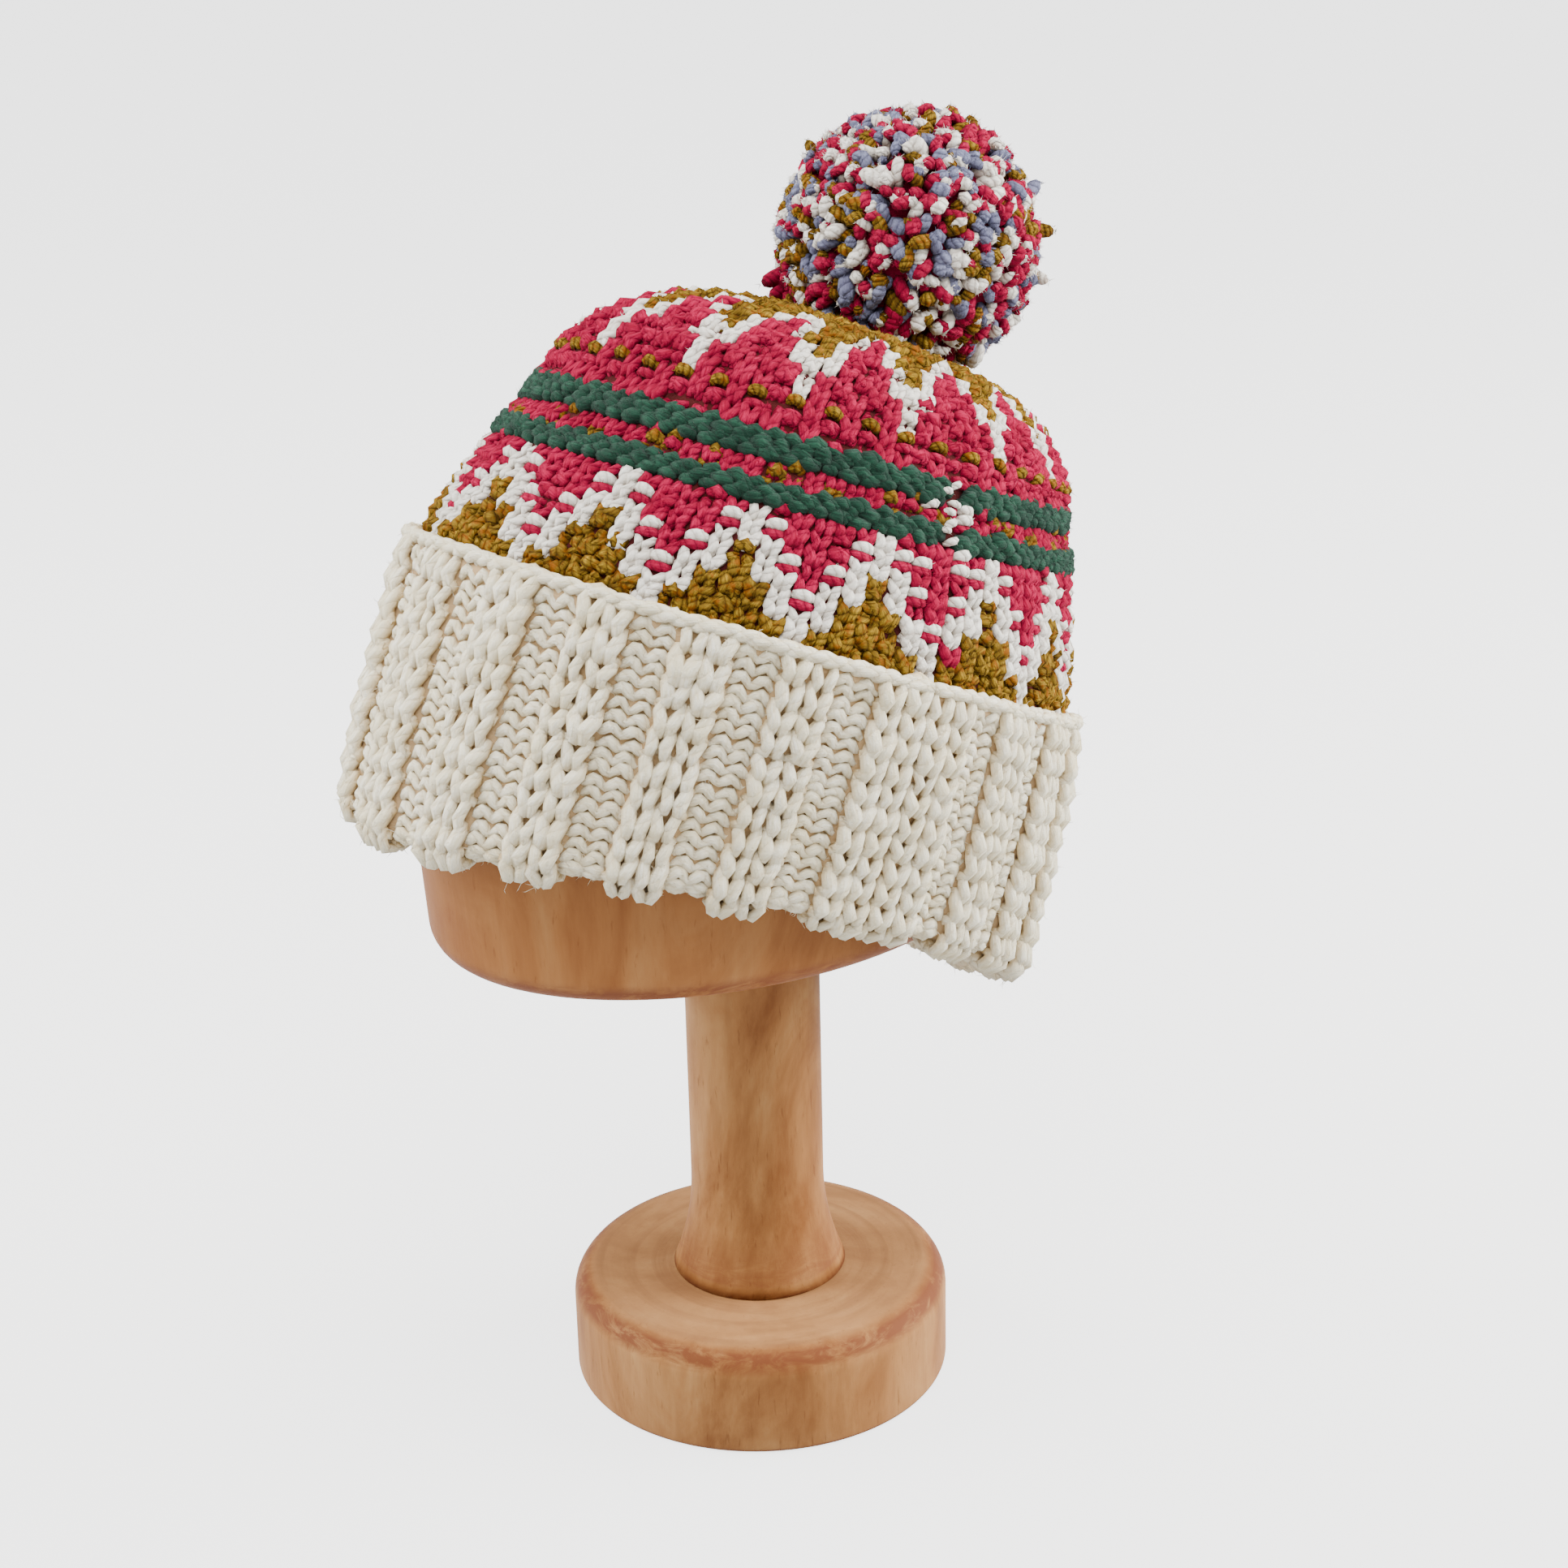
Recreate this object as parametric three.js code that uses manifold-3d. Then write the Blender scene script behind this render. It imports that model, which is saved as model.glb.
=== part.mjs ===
// Bobble beanie with a turned-up ribbed cuff, resting on a plain turned wooden hat stand.
// Millimetres, +Z up, floor at z = 0, the beanie's front towards -Y.
import * as THREE from 'three';
import { mergeVertices } from 'three/addons/utils/BufferGeometryUtils.js';
import Module from 'manifold-3d';

const wasm = await Module();
wasm.setup();

// Clearance between pieces that touch
const seatGap = 0.3;

// Stand base, a thick round disc
const baseRadius = 64.3;
const baseHeight = 37.1;
const baseFootRounding = 2.2;
const baseTopRounding = 9.4;

// Stand post, waisted and flared at its foot and head
const postRadius = 22.6;
const postFootRadius = 29.5;
const postFootFlareHeight = 34;
const postHeadRadius = 24.4;
const postHeadFlareHeight = 30;

// Stand block, an oval flat-bottomed dome that fills the crown
const blockUnderside = 171.6;
const blockHalfLength = 99.9;
const blockHalfWidth = 75.4;
const blockFootRounding = 9.7;
const blockTaper = 0.064;
const blockAside = -5;
const blockForward = -8.2;
const blockShoulderShare = 0.52;
const blockDomePower = 2.3;

// How far the tool that hollows the beanie widens below the rim
const hollowFlare = 1.3;

// How the beanie sits on the block: rim centre, backward tilt and sideways tilt
const rimAside = -4.5;
const rimForward = -22.4;
const rimHeight = 173;
const backTilt = 0.419;
const sideTilt = 0.055;

// Knitting gauge
const stitchesAround = 90;
const repeatsAround = 15;
const seamAngle = -0.04;
const ribRepeat = 4;
const ribKnitStitches = 2;

// Shape of every section: how square its oval is, and how its sides lift
const ovalPower = 2.1;
const sideLiftPower = 1.5;

// Ribbed cuff, one band folded at the rim into an outer and an inner layer
const rimHalfLength = 121;
const rimHalfWidth = 96.8;
const cuffTopHalfLength = 114.6;
const cuffTopHalfWidth = 107.4;
const cuffHeight = 92.7;
const cuffBulge = 1.5;
const cuffTopForward = 8.8;
const cuffTopSlope = 0.012;
const rimSideLift = 15.6;
const cuffTopSideLift = -0.2;
const cuffWall = 6;
const cuffFoldSlot = 0.7;
const ribDepth = 2.2;
const ribScallop = 2.4;
const slotFloorShare = 0.096;
const innerLayerShare = 0.885;
const halfwayShare = 0.5;
const aboveFoldShare = 0.09;
const belowEdgeShare = 0.96;

// Patterned body, from inside the cuff to the gathered crown
const crownHeight = 99;
const crownSetBack = 21.5;
const bodyWall = 5;
const bodyFootRise = 1.2;
const weltHeight = 7.2;
const weltBulge = 2.2;
const gatherDepth = 1.6;
const gatherStartRise = 0.7;
const gatherFullRise = 0.95;
const seamDepth = 1.2;
const crownEyeShare = 0.6;

// Pompom
const pompomRadius = 43.9;
const pompomHeadShare = 0.9;
const pompomLift = 35;
const pompomForward = 12;
const tuftCount = 41;
const tuftRadius = 9.2;
const tuftSunkShare = 0.95;
const tuftTumble = 1.7;
const tuftTwist = 2.3;

// Facets
const baseSides = 44;
const postSides = 32;
const blockSides = 36;
const sidesPerRepeat = 4;
const roundingSteps = 3;
const flareSteps = 4;
const foldSteps = 4;
const domeSteps = 6;
const ballDetail = 2;
const weldTolerance = 1e-4;

// Outline of the cuff's folded band: up its outer face, over the top edge, down and up the slot between
// its two layers, and down the inner face. height is a share of cuffHeight, walls and slots count the
// cuffWalls and cuffFoldSlots between it and the outer face, relief and hang are shares of the ribs'
// depth and of their scallop.
const cuffOutline = [
  { height: aboveFoldShare, walls: 0.00, slots: 0, relief: 1.0, hang: 0.6 },
  { height: 0.30, walls: 0.00, slots: 0, relief: 1.0, hang: 0 },
  { height: 0.52, walls: 0.00, slots: 0, relief: 1.0, hang: 0 },
  { height: 0.75, walls: 0.00, slots: 0, relief: 1.0, hang: 0 },
  { height: belowEdgeShare, walls: 0.00, slots: 0, relief: 1.0, hang: 0 },
  { height: 1.00, walls: 0.45, slots: 0, relief: 0.4, hang: 0 },
  { height: 1.00, walls: 0.80, slots: 0, relief: 0, hang: 0 },
  { height: belowEdgeShare, walls: 1.00, slots: 0, relief: 0, hang: 0 },
  { height: halfwayShare, walls: 1.00, slots: 0, relief: 0, hang: 0 },
  { height: slotFloorShare, walls: 1.00, slots: 0, relief: 0, hang: 0 },
  { height: slotFloorShare, walls: 1.00, slots: 1, relief: 0, hang: 0 },
  { height: halfwayShare, walls: 1.00, slots: 1, relief: 0, hang: 0 },
  { height: innerLayerShare, walls: 1.00, slots: 1, relief: 0, hang: 0 },
  { height: innerLayerShare, walls: 2.00, slots: 1, relief: 0, hang: 0 },
  { height: halfwayShare, walls: 2.00, slots: 1, relief: 0, hang: 0 },
  { height: aboveFoldShare, walls: 2.00, slots: 1, relief: 0, hang: 0.6 },
];

// Body sections from foot to crown. rise is a share of crownHeight above the cuff's top edge,
// length and width are shares of the body's half-sizes there, back is a share of crownSetBack,
// slope tips the section up towards the back and lift raises its two sides, as a share of rimSideLift.
const bodySections = [
  { rise: 0.000, length: 1.000, width: 1.000, back: -0.410, slope: 0.012, lift: -0.01 },
  { rise: 0.070, length: 0.988, width: 0.990, back: -0.420, slope: 0.025, lift: -0.02 },
  { rise: 0.260, length: 0.938, width: 0.955, back: -0.420, slope: 0.045, lift: -0.06 },
  { rise: 0.465, length: 0.863, width: 0.900, back: -0.415, slope: 0.060, lift: -0.11 },
  { rise: 0.602, length: 0.817, width: 0.852, back: -0.378, slope: 0.055, lift: -0.14 },
  { rise: 0.779, length: 0.773, width: 0.752, back: -0.218, slope: 0.001, lift: -0.10 },
  { rise: 0.915, length: 0.630, width: 0.606, back: -0.030, slope: -0.025, lift: -0.07 },
  { rise: 0.985, length: 0.446, width: 0.442, back: 0.200, slope: -0.048, lift: -0.04 },
  { rise: 1.004, length: 0.140, width: 0.139, back: 0.754, slope: -0.079, lift: -0.01 },
  { rise: 1.000, length: 0.000, width: 0.000, back: 1.000, slope: -0.079, lift: 0.00 },
];

// Raised purl welts around the body, and the other places its outside has a ring of corners,
// both as shares of crownHeight
const weltRises = [0.465, 0.602];
const plainRises = [0, 0.12, 0.25, 0.37, 0.74, 0.84, 0.92, 0.965, 0.99];

// Colours and finishes
const creamWool = new THREE.MeshStandardMaterial({ color: 0xe6e1d4, roughness: 0.95, metalness: 0 });
const patternedWool = new THREE.MeshStandardMaterial({ color: 0xb02a4c, roughness: 0.95, metalness: 0 });
const bobbleWool = new THREE.MeshStandardMaterial({ color: 0xb9873a, roughness: 1, metalness: 0 });
const waxedWood = () => new THREE.MeshStandardMaterial({ color: 0xb9814f, roughness: 0.5, metalness: 0 });

// Turns ring grids into one closed mesh. Rings run anticlockwise seen from above.
function shellGeometry(rings, { closedLoop = false } = {}) {
  const around = rings[0].length;
  const positions = [];
  const faces = [];
  for (const ring of rings) {
    for (const point of ring) positions.push(point.x, point.y, point.z);
  }
  const bands = closedLoop ? rings.length : rings.length - 1;
  for (let band = 0; band < bands; band += 1) {
    const low = band * around;
    const high = ((band + 1) % rings.length) * around;
    for (let side = 0; side < around; side += 1) {
      const next = (side + 1) % around;
      faces.push(low + side, low + next, high + next);
      faces.push(low + side, high + next, high + side);
    }
  }
  if (!closedLoop) {
    addCap(positions, faces, rings[0], 0, true);
    addCap(positions, faces, rings[rings.length - 1], (rings.length - 1) * around, false);
  }
  const geometry = new THREE.BufferGeometry();
  geometry.setAttribute('position', new THREE.Float32BufferAttribute(positions, 3));
  geometry.setIndex(faces);
  return geometry;
}

// Closes one end of a ring grid with a fan
function addCap(positions, faces, ring, start, facesDown) {
  const centre = new THREE.Vector3();
  for (const point of ring) centre.add(point);
  centre.divideScalar(ring.length);
  const hub = positions.length / 3;
  positions.push(centre.x, centre.y, centre.z);
  for (let side = 0; side < ring.length; side += 1) {
    const next = (side + 1) % ring.length;
    if (facesDown) faces.push(hub, start + next, start + side);
    else faces.push(hub, start + side, start + next);
  }
}

// A closed mesh as a solid for joining and cutting
function solidOf(geometry) {
  const bare = geometry.clone();
  bare.deleteAttribute('normal');
  bare.deleteAttribute('uv');
  const merged = mergeVertices(bare, weldTolerance);
  return new wasm.Manifold(new wasm.Mesh({
    numProp: 3,
    vertProperties: new Float32Array(merged.attributes.position.array),
    triVerts: new Uint32Array(merged.index.array),
  }));
}

// A solid back as a mesh
function geometryOf(solid) {
  const mesh = solid.getMesh();
  const geometry = new THREE.BufferGeometry();
  geometry.setAttribute('position', new THREE.BufferAttribute(mesh.vertProperties, 3));
  geometry.setIndex(new THREE.BufferAttribute(mesh.triVerts, 1));
  return geometry;
}

// One oval section in the beanie's own frame. depth moves it inwards by stitch number.
function ovalRing(section, around, depth = () => 0, drop = () => 0) {
  const ring = [];
  for (let side = 0; side < around; side += 1) {
    const angle = seamAngle + (2 * Math.PI * side) / around;
    const cosine = Math.cos(angle);
    const sine = Math.sin(angle);
    const inset = depth(side);
    const across = Math.sign(cosine) * Math.abs(cosine) ** (2 / ovalPower) * (section.width - inset);
    const along = Math.sign(sine) * Math.abs(sine) ** (2 / ovalPower) * (section.length - inset);
    const height = section.height + along * section.slope + section.lift * Math.abs(cosine) ** sideLiftPower;
    ring.push(new THREE.Vector3(across, along + section.shift, height - drop(side)));
  }
  return ring;
}

// Moves a ring grid along its own normals, outwards for a positive distance
function offsetRings(rings, distance) {
  const around = rings[0].length;
  return rings.map((ring, band) => ring.map((point, side) => {
    const before = ring[(side + around - 1) % around];
    const after = ring[(side + 1) % around];
    const below = rings[Math.max(band - 1, 0)][side];
    const above = rings[Math.min(band + 1, rings.length - 1)][side];
    const sideways = new THREE.Vector3().subVectors(after, before);
    const upwards = new THREE.Vector3().subVectors(above, below);
    return point.clone().addScaledVector(sideways.cross(upwards).normalize(), distance);
  }));
}

// The cuff's outer surface at a height above the rim
function cuffSection(height) {
  const climb = height / cuffHeight;
  const swell = cuffBulge * Math.sin(Math.PI * THREE.MathUtils.clamp(climb, 0, 1));
  return {
    height,
    length: THREE.MathUtils.lerp(rimHalfLength, cuffTopHalfLength, climb) + swell,
    width: THREE.MathUtils.lerp(rimHalfWidth, cuffTopHalfWidth, climb) + swell,
    shift: -cuffTopForward * climb,
    slope: cuffTopSlope * climb,
    lift: THREE.MathUtils.lerp(rimSideLift, cuffTopSideLift, climb),
  };
}

// Two knit stitches stand proud, two purl stitches lie back, with two knit stitches left at the seam
function isKnitStitch(stitch) {
  return stitch % ribRepeat < ribKnitStitches;
}

function makeCuff() {
  const crest = (stitch) => (isKnitStitch(stitch) ? 1 : 0);
  const ring = (height, depth, relief, hang) => ovalRing(
    cuffSection(height),
    stitchesAround,
    (stitch) => depth + relief * ribDepth * (1 - crest(stitch)),
    (stitch) => hang * ribScallop * crest(stitch),
  );
  const rings = cuffOutline.map(({ height, walls, slots, relief, hang }) => (
    ring(height * cuffHeight, walls * cuffWall + slots * cuffFoldSlot, relief, hang)
  ));
  const foldRadius = cuffWall + cuffFoldSlot / 2;
  for (let step = 1; step < foldSteps; step += 1) {
    const turn = (Math.PI * step) / foldSteps;
    const height = foldRadius * (1 - Math.sin(turn));
    rings.push(ring(height, foldRadius * (1 + Math.cos(turn)), (1 - Math.cos(turn)) / 2, 1));
  }
  return shellGeometry(rings, { closedLoop: true });
}

// Body section at a rise between the table's rows, on a smooth curve through them
function bodySection(rise) {
  const last = bodySections.length - 1;
  let row = 0;
  while (row < last - 1 && rise > bodySections[row + 1].rise) row += 1;
  const span = bodySections[row + 1].rise - bodySections[row].rise;
  return sectionBetween(row, span === 0 ? 0 : (rise - bodySections[row].rise) / span);
}

function sectionBetween(row, weight) {
  const last = bodySections.length - 1;
  const nearest = (index) => bodySections[Math.min(Math.max(index, 0), last)];
  const rows = [row - 1, row, row + 1, row + 2].map(nearest);
  const smooth = (column) => {
    const [before, start, end, after] = rows.map((section) => section[column]);
    const leaving = (end - before) / 2;
    const arriving = (after - start) / 2;
    const square = weight * weight;
    const cube = square * weight;
    return (2 * cube - 3 * square + 1) * start + (cube - 2 * square + weight) * leaving
      + (3 * square - 2 * cube) * end + (cube - square) * arriving;
  };
  const footInset = cuffWall + cuffFoldSlot;
  return {
    height: cuffHeight + crownHeight * smooth('rise'),
    length: (cuffTopHalfLength - footInset) * smooth('length'),
    width: (cuffTopHalfWidth - footInset) * smooth('width'),
    shift: crownSetBack * smooth('back'),
    slope: smooth('slope'),
    lift: rimSideLift * smooth('lift'),
  };
}

// The body's lowest section stands on the cuff's inner layer
function footSection() {
  const height = innerLayerShare * cuffHeight + bodyFootRise;
  const cuff = cuffSection(height);
  const top = bodySection(0);
  const depth = cuffWall + 2 * cuffFoldSlot;
  return {
    ...cuff,
    length: Math.min(cuff.length - depth, top.length),
    width: cuff.width - depth,
    shift: top.shift * (height / cuffHeight),
  };
}

const bodyAround = repeatsAround * sidesPerRepeat;

// Outer rows of the body from its edge to the crown, with three rows on each welt
function outerRows() {
  const halfWelt = weltHeight / 2 / crownHeight;
  const rows = plainRises.map((rise) => ({ rise, bulge: 0 }));
  for (const rise of weltRises) {
    rows.push({ rise: rise - halfWelt, bulge: 0 });
    rows.push({ rise, bulge: weltBulge });
    rows.push({ rise: rise + halfWelt, bulge: 0 });
  }
  return rows.sort((one, other) => one.rise - other.rise);
}

// Outside of the body with welts, crown gathers and the seam's groove
function reliefRings() {
  const rings = [ovalRing(footSection(), bodyAround)];
  for (const { rise, bulge } of outerRows()) {
    const gather = gatherDepth * THREE.MathUtils.smoothstep(rise, gatherStartRise, gatherFullRise);
    const depth = (side) => {
      const fold = side % sidesPerRepeat === 0 ? gather : 0;
      const seam = side === 0 ? seamDepth : 0;
      return fold + seam - bulge;
    };
    rings.push(ovalRing(bodySection(rise), bodyAround, depth));
  }
  const nearlyLast = bodySections.length - 2;
  rings.push(ovalRing(sectionBetween(nearlyLast, 0), bodyAround));
  rings.push(ovalRing(sectionBetween(nearlyLast, crownEyeShare), bodyAround));
  return rings;
}

// Inside of the body, moved further in by extra
function innerRings(extra) {
  const rings = [ovalRing(footSection(), bodyAround)];
  for (let row = 0; row < bodySections.length - 1; row += 1) {
    rings.push(ovalRing(sectionBetween(row, 0), bodyAround));
  }
  return offsetRings(rings, -(bodyWall + extra));
}

function makeBody() {
  return shellGeometry([...innerRings(0).reverse(), ...reliefRings()]);
}

// The hollow inside the beanie, kept clear of its walls and carried on below the rim
function makeHollow() {
  const innerFace = 2 * cuffWall + cuffFoldSlot + seatGap;
  const cuffRing = (height) => ovalRing(cuffSection(height), bodyAround, () => innerFace);
  const shares = [0, aboveFoldShare, halfwayShare, innerLayerShare];
  const rings = shares.map((share) => cuffRing(share * cuffHeight));
  const below = rings[0].map((point) => (
    new THREE.Vector3(point.x * hollowFlare, point.y * hollowFlare, point.z - cuffHeight)
  ));
  return shellGeometry([below, ...rings, ...innerRings(seatGap)]);
}

// Stand base, turned with a small rounding at the floor and a large one above
function makeBase() {
  const profile = [new THREE.Vector2(0, 0)];
  for (let step = 0; step <= roundingSteps; step += 1) {
    const turn = (Math.PI / 2) * (step / roundingSteps);
    const inset = baseFootRounding * (1 - Math.sin(turn));
    profile.push(new THREE.Vector2(baseRadius - inset, baseFootRounding * (1 - Math.cos(turn))));
  }
  for (let step = 0; step <= roundingSteps; step += 1) {
    const turn = (Math.PI / 2) * (step / roundingSteps);
    const inset = baseTopRounding * (1 - Math.cos(turn));
    profile.push(new THREE.Vector2(baseRadius - inset, baseHeight - baseTopRounding * (1 - Math.sin(turn))));
  }
  profile.push(new THREE.Vector2(0, baseHeight));
  return turned(profile, baseSides);
}

// Stand post, waisted, with a flare at each end that dies away along a curve
function makePost() {
  const foot = baseHeight + seatGap;
  const head = blockUnderside - seatGap;
  const radiusAt = (height) => {
    const fromFoot = Math.max(0, 1 - (height - foot) / postFootFlareHeight);
    const fromHead = Math.max(0, 1 - (head - height) / postHeadFlareHeight);
    return postRadius + (postFootRadius - postRadius) * fromFoot ** 2
      + (postHeadRadius - postRadius) * fromHead ** 2;
  };
  const heights = [];
  for (let step = 0; step <= flareSteps; step += 1) {
    heights.push(foot + (postFootFlareHeight * step) / flareSteps);
  }
  for (let step = flareSteps; step >= 0; step -= 1) {
    heights.push(head - (postHeadFlareHeight * step) / flareSteps);
  }
  const profile = heights.map((height) => new THREE.Vector2(radiusAt(height), height));
  return turned([new THREE.Vector2(0, foot), ...profile, new THREE.Vector2(0, head)], postSides);
}

// A profile from axis to axis turned about +Z
function turned(profile, sides) {
  return new THREE.LatheGeometry(profile, sides).rotateX(Math.PI / 2);
}

// Stand block: flat underside, rounded foot, walls that widen upwards and a domed top.
// The dome is as high as the crown's hollow, and is cut to that hollow where the knitting lies on it.
function makeBlock(hollow) {
  const blockTop = hollow.boundingBox().max[2];
  const height = blockTop - blockUnderside;
  const shoulder = height * blockShoulderShare;
  const blockRing = (growth, level) => {
    const ring = [];
    for (let side = 0; side < blockSides; side += 1) {
      const angle = (2 * Math.PI * side) / blockSides;
      const across = (blockHalfWidth + growth) * Math.cos(angle) + blockAside;
      const along = (blockHalfLength + growth) * Math.sin(angle) + blockForward;
      ring.push(new THREE.Vector3(across, along, blockUnderside + level));
    }
    return ring;
  };
  const rings = [];
  for (let step = 0; step <= roundingSteps; step += 1) {
    const turn = (Math.PI / 2) * (step / roundingSteps);
    const inset = blockFootRounding * (1 - Math.sin(turn));
    rings.push(blockRing(-inset, blockFootRounding * (1 - Math.cos(turn))));
  }
  const widest = Math.tan(blockTaper) * (shoulder - blockFootRounding);
  for (let step = 0; step < domeSteps; step += 1) {
    const turn = (Math.PI / 2) * (step / domeSteps);
    const climb = Math.sin(turn) ** (2 / blockDomePower);
    const spread = Math.cos(turn) ** (2 / blockDomePower);
    const level = shoulder + (height - shoulder) * climb;
    rings.push(blockRing((blockHalfWidth + widest) * (spread - 1) + widest, level));
  }
  return geometryOf(solidOf(shellGeometry(rings)).intersect(hollow));
}

// Pompom: short locks of yarn over a ball, fused to it and seated on the gathered crown
function makePompom() {
  const centre = crownCentre().add(new THREE.Vector3(0, -pompomForward, pompomLift));
  const headRadius = pompomRadius * pompomHeadShare;
  const ball = new THREE.IcosahedronGeometry(headRadius, ballDetail);
  let pompom = solidOf(ball.translate(centre.x, centre.y, centre.z));
  const goldenTurn = Math.PI * (3 - Math.sqrt(5));
  for (let tuft = 0; tuft < tuftCount; tuft += 1) {
    const level = 1 - (2 * (tuft + 0.5)) / tuftCount;
    const reach = Math.sqrt(1 - level * level);
    const outward = new THREE.Vector3(
      reach * Math.cos(tuft * goldenTurn),
      reach * Math.sin(tuft * goldenTurn),
      level,
    );
    const lock = new THREE.IcosahedronGeometry(tuftRadius, 0);
    lock.rotateX(tuft * tuftTumble).rotateZ(tuft * tuftTwist);
    const place = outward.multiplyScalar(pompomRadius - tuftRadius * tuftSunkShare).add(centre);
    pompom = pompom.add(solidOf(lock.translate(place.x, place.y, place.z)));
  }
  const crown = solidOf(shellGeometry(offsetRings(reliefRings(), seatGap)));
  return geometryOf(pompom.subtract(crown));
}

// The point where the body's columns meet
function crownCentre() {
  const apex = sectionBetween(bodySections.length - 2, 1);
  return new THREE.Vector3(0, apex.shift, apex.height);
}

function piece(name, geometry, material) {
  const mesh = new THREE.Mesh(geometry, material);
  mesh.name = name;
  return mesh;
}

// The beanie's place on the stand
const beanie = new THREE.Group();
beanie.position.set(rimAside, rimForward, rimHeight);
beanie.rotation.set(-backTilt, -sideTilt, 0, 'YXZ');
beanie.updateMatrixWorld(true);
beanie.add(piece('ribbed_cuff', makeCuff(), creamWool));
beanie.add(piece('patterned_body', makeBody(), patternedWool));
beanie.add(piece('pompom', makePompom(), bobbleWool));

const hollow = solidOf(makeHollow().applyMatrix4(beanie.matrixWorld));
const stand = new THREE.Group();
stand.add(piece('stand_base', makeBase(), waxedWood()));
stand.add(piece('stand_post', makePost(), waxedWood()));
stand.add(piece('stand_block', makeBlock(hollow), waxedWood()));

const beanieOnStand = new THREE.Group();
beanieOnStand.add(stand, beanie);

export default beanieOnStand;
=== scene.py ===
import math

import bmesh
import bpy
import numpy as np
from mathutils import Matrix, Vector


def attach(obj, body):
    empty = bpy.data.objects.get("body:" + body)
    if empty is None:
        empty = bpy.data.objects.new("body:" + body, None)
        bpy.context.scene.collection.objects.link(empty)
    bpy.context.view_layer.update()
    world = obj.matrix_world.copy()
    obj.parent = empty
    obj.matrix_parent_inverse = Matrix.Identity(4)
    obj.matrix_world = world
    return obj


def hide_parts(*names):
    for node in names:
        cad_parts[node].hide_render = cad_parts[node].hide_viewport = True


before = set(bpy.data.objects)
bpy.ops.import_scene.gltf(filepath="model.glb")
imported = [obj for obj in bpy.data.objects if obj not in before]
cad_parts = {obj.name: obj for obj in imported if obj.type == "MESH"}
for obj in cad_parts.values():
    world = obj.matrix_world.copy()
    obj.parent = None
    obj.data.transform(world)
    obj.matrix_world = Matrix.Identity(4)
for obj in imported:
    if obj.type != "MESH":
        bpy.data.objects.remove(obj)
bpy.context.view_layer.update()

MM = 0.001
rng = np.random.default_rng(7)

# Beanie sizes in millimetres, as in the solid model
RIM_PLACE = np.array([-4.5, -22.4, 173.0])
BACK_TILT = 0.419
SIDE_TILT = 0.055
SEAM_ANGLE = -0.04
OVAL_POWER = 2.1
SIDE_LIFT_POWER = 1.5
CUFF = dict(height=92.7, rim_length=121.0, rim_width=96.8, top_length=114.6, top_width=107.4,
            bulge=1.5, top_forward=8.8, top_slope=0.012, rim_lift=15.6, top_lift=-0.2)
CUFF_WALL = 6.0
CUFF_SLOT = 0.7
INNER_LAYER_HEIGHT = 82.0
FOLD_RADIUS = CUFF_WALL + CUFF_SLOT / 2
FOLD_LENGTH = math.pi * FOLD_RADIUS
CROWN_HEIGHT = 99.0
CROWN_SET_BACK = 21.5
BODY_WALL = 5.0
BODY_SECTIONS = np.array([
    # rise, length, width, back, slope, lift
    [0.000, 1.000, 1.000, -0.410, 0.012, -0.01],
    [0.070, 0.988, 0.990, -0.420, 0.025, -0.02],
    [0.260, 0.938, 0.955, -0.420, 0.045, -0.06],
    [0.465, 0.863, 0.900, -0.415, 0.060, -0.11],
    [0.602, 0.817, 0.852, -0.378, 0.055, -0.14],
    [0.779, 0.773, 0.752, -0.218, 0.001, -0.10],
    [0.915, 0.630, 0.606, -0.030, -0.025, -0.07],
    [0.985, 0.446, 0.442, 0.200, -0.048, -0.04],
    [1.004, 0.140, 0.139, 0.754, -0.079, -0.01],
    [1.000, 0.000, 0.000, 1.000, -0.079, 0.00],
])
FIRST_WELT_ROW = 3.0
SECOND_WELT_ROW = 4.0

LAST_SECTION = len(BODY_SECTIONS) - 1
BELOW_EDGE_STEP = 8.0
SEAT_GAP = 0.3

STITCHES = 90
REPEATS = 15
COLUMN_SKEW = 0.054
COLUMN_SPREAD = 0.149

# The photograph's camera: its directions, its place in metres, and its focal length and width in pixels
PHOTO_RIGHT = np.array([0.57169, 0.82018, -0.02183])
PHOTO_UP = np.array([-0.27795, 0.21864, 0.93538])
PHOTO_BACK = (0.77195, -0.52868, 0.35296)
PHOTO_PLACE = (0.70811, -0.47018, 0.53228)
FOCAL_PIXELS = 3449.9
PHOTO_PIXELS = 1932
SENSOR_WIDTH = 36

TURN_X = np.array([[1, 0, 0],
                   [0, math.cos(BACK_TILT), math.sin(BACK_TILT)],
                   [0, -math.sin(BACK_TILT), math.cos(BACK_TILT)]])
TURN_Y = np.array([[math.cos(SIDE_TILT), 0, -math.sin(SIDE_TILT)],
                   [0, 1, 0],
                   [math.sin(SIDE_TILT), 0, math.cos(SIDE_TILT)]])
BEANIE_TURN = TURN_Y @ TURN_X


def to_row_frame(points):
    """Beanie frame in millimetres to the part's frame in metres."""
    return (points @ BEANIE_TURN.T + RIM_PLACE) * MM


def lerp(low, high, share):
    return low + (high - low) * share


# Knitted surfaces

def oval(angle, length, width, shift, height, slope, lift):
    cosine, sine = np.cos(angle), np.sin(angle)
    across = np.sign(cosine) * np.abs(cosine) ** (2 / OVAL_POWER) * width
    along = np.sign(sine) * np.abs(sine) ** (2 / OVAL_POWER) * length
    up = height + along * slope + lift * np.abs(cosine) ** SIDE_LIFT_POWER
    return np.stack([across, along + shift, up], axis=-1)


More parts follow.
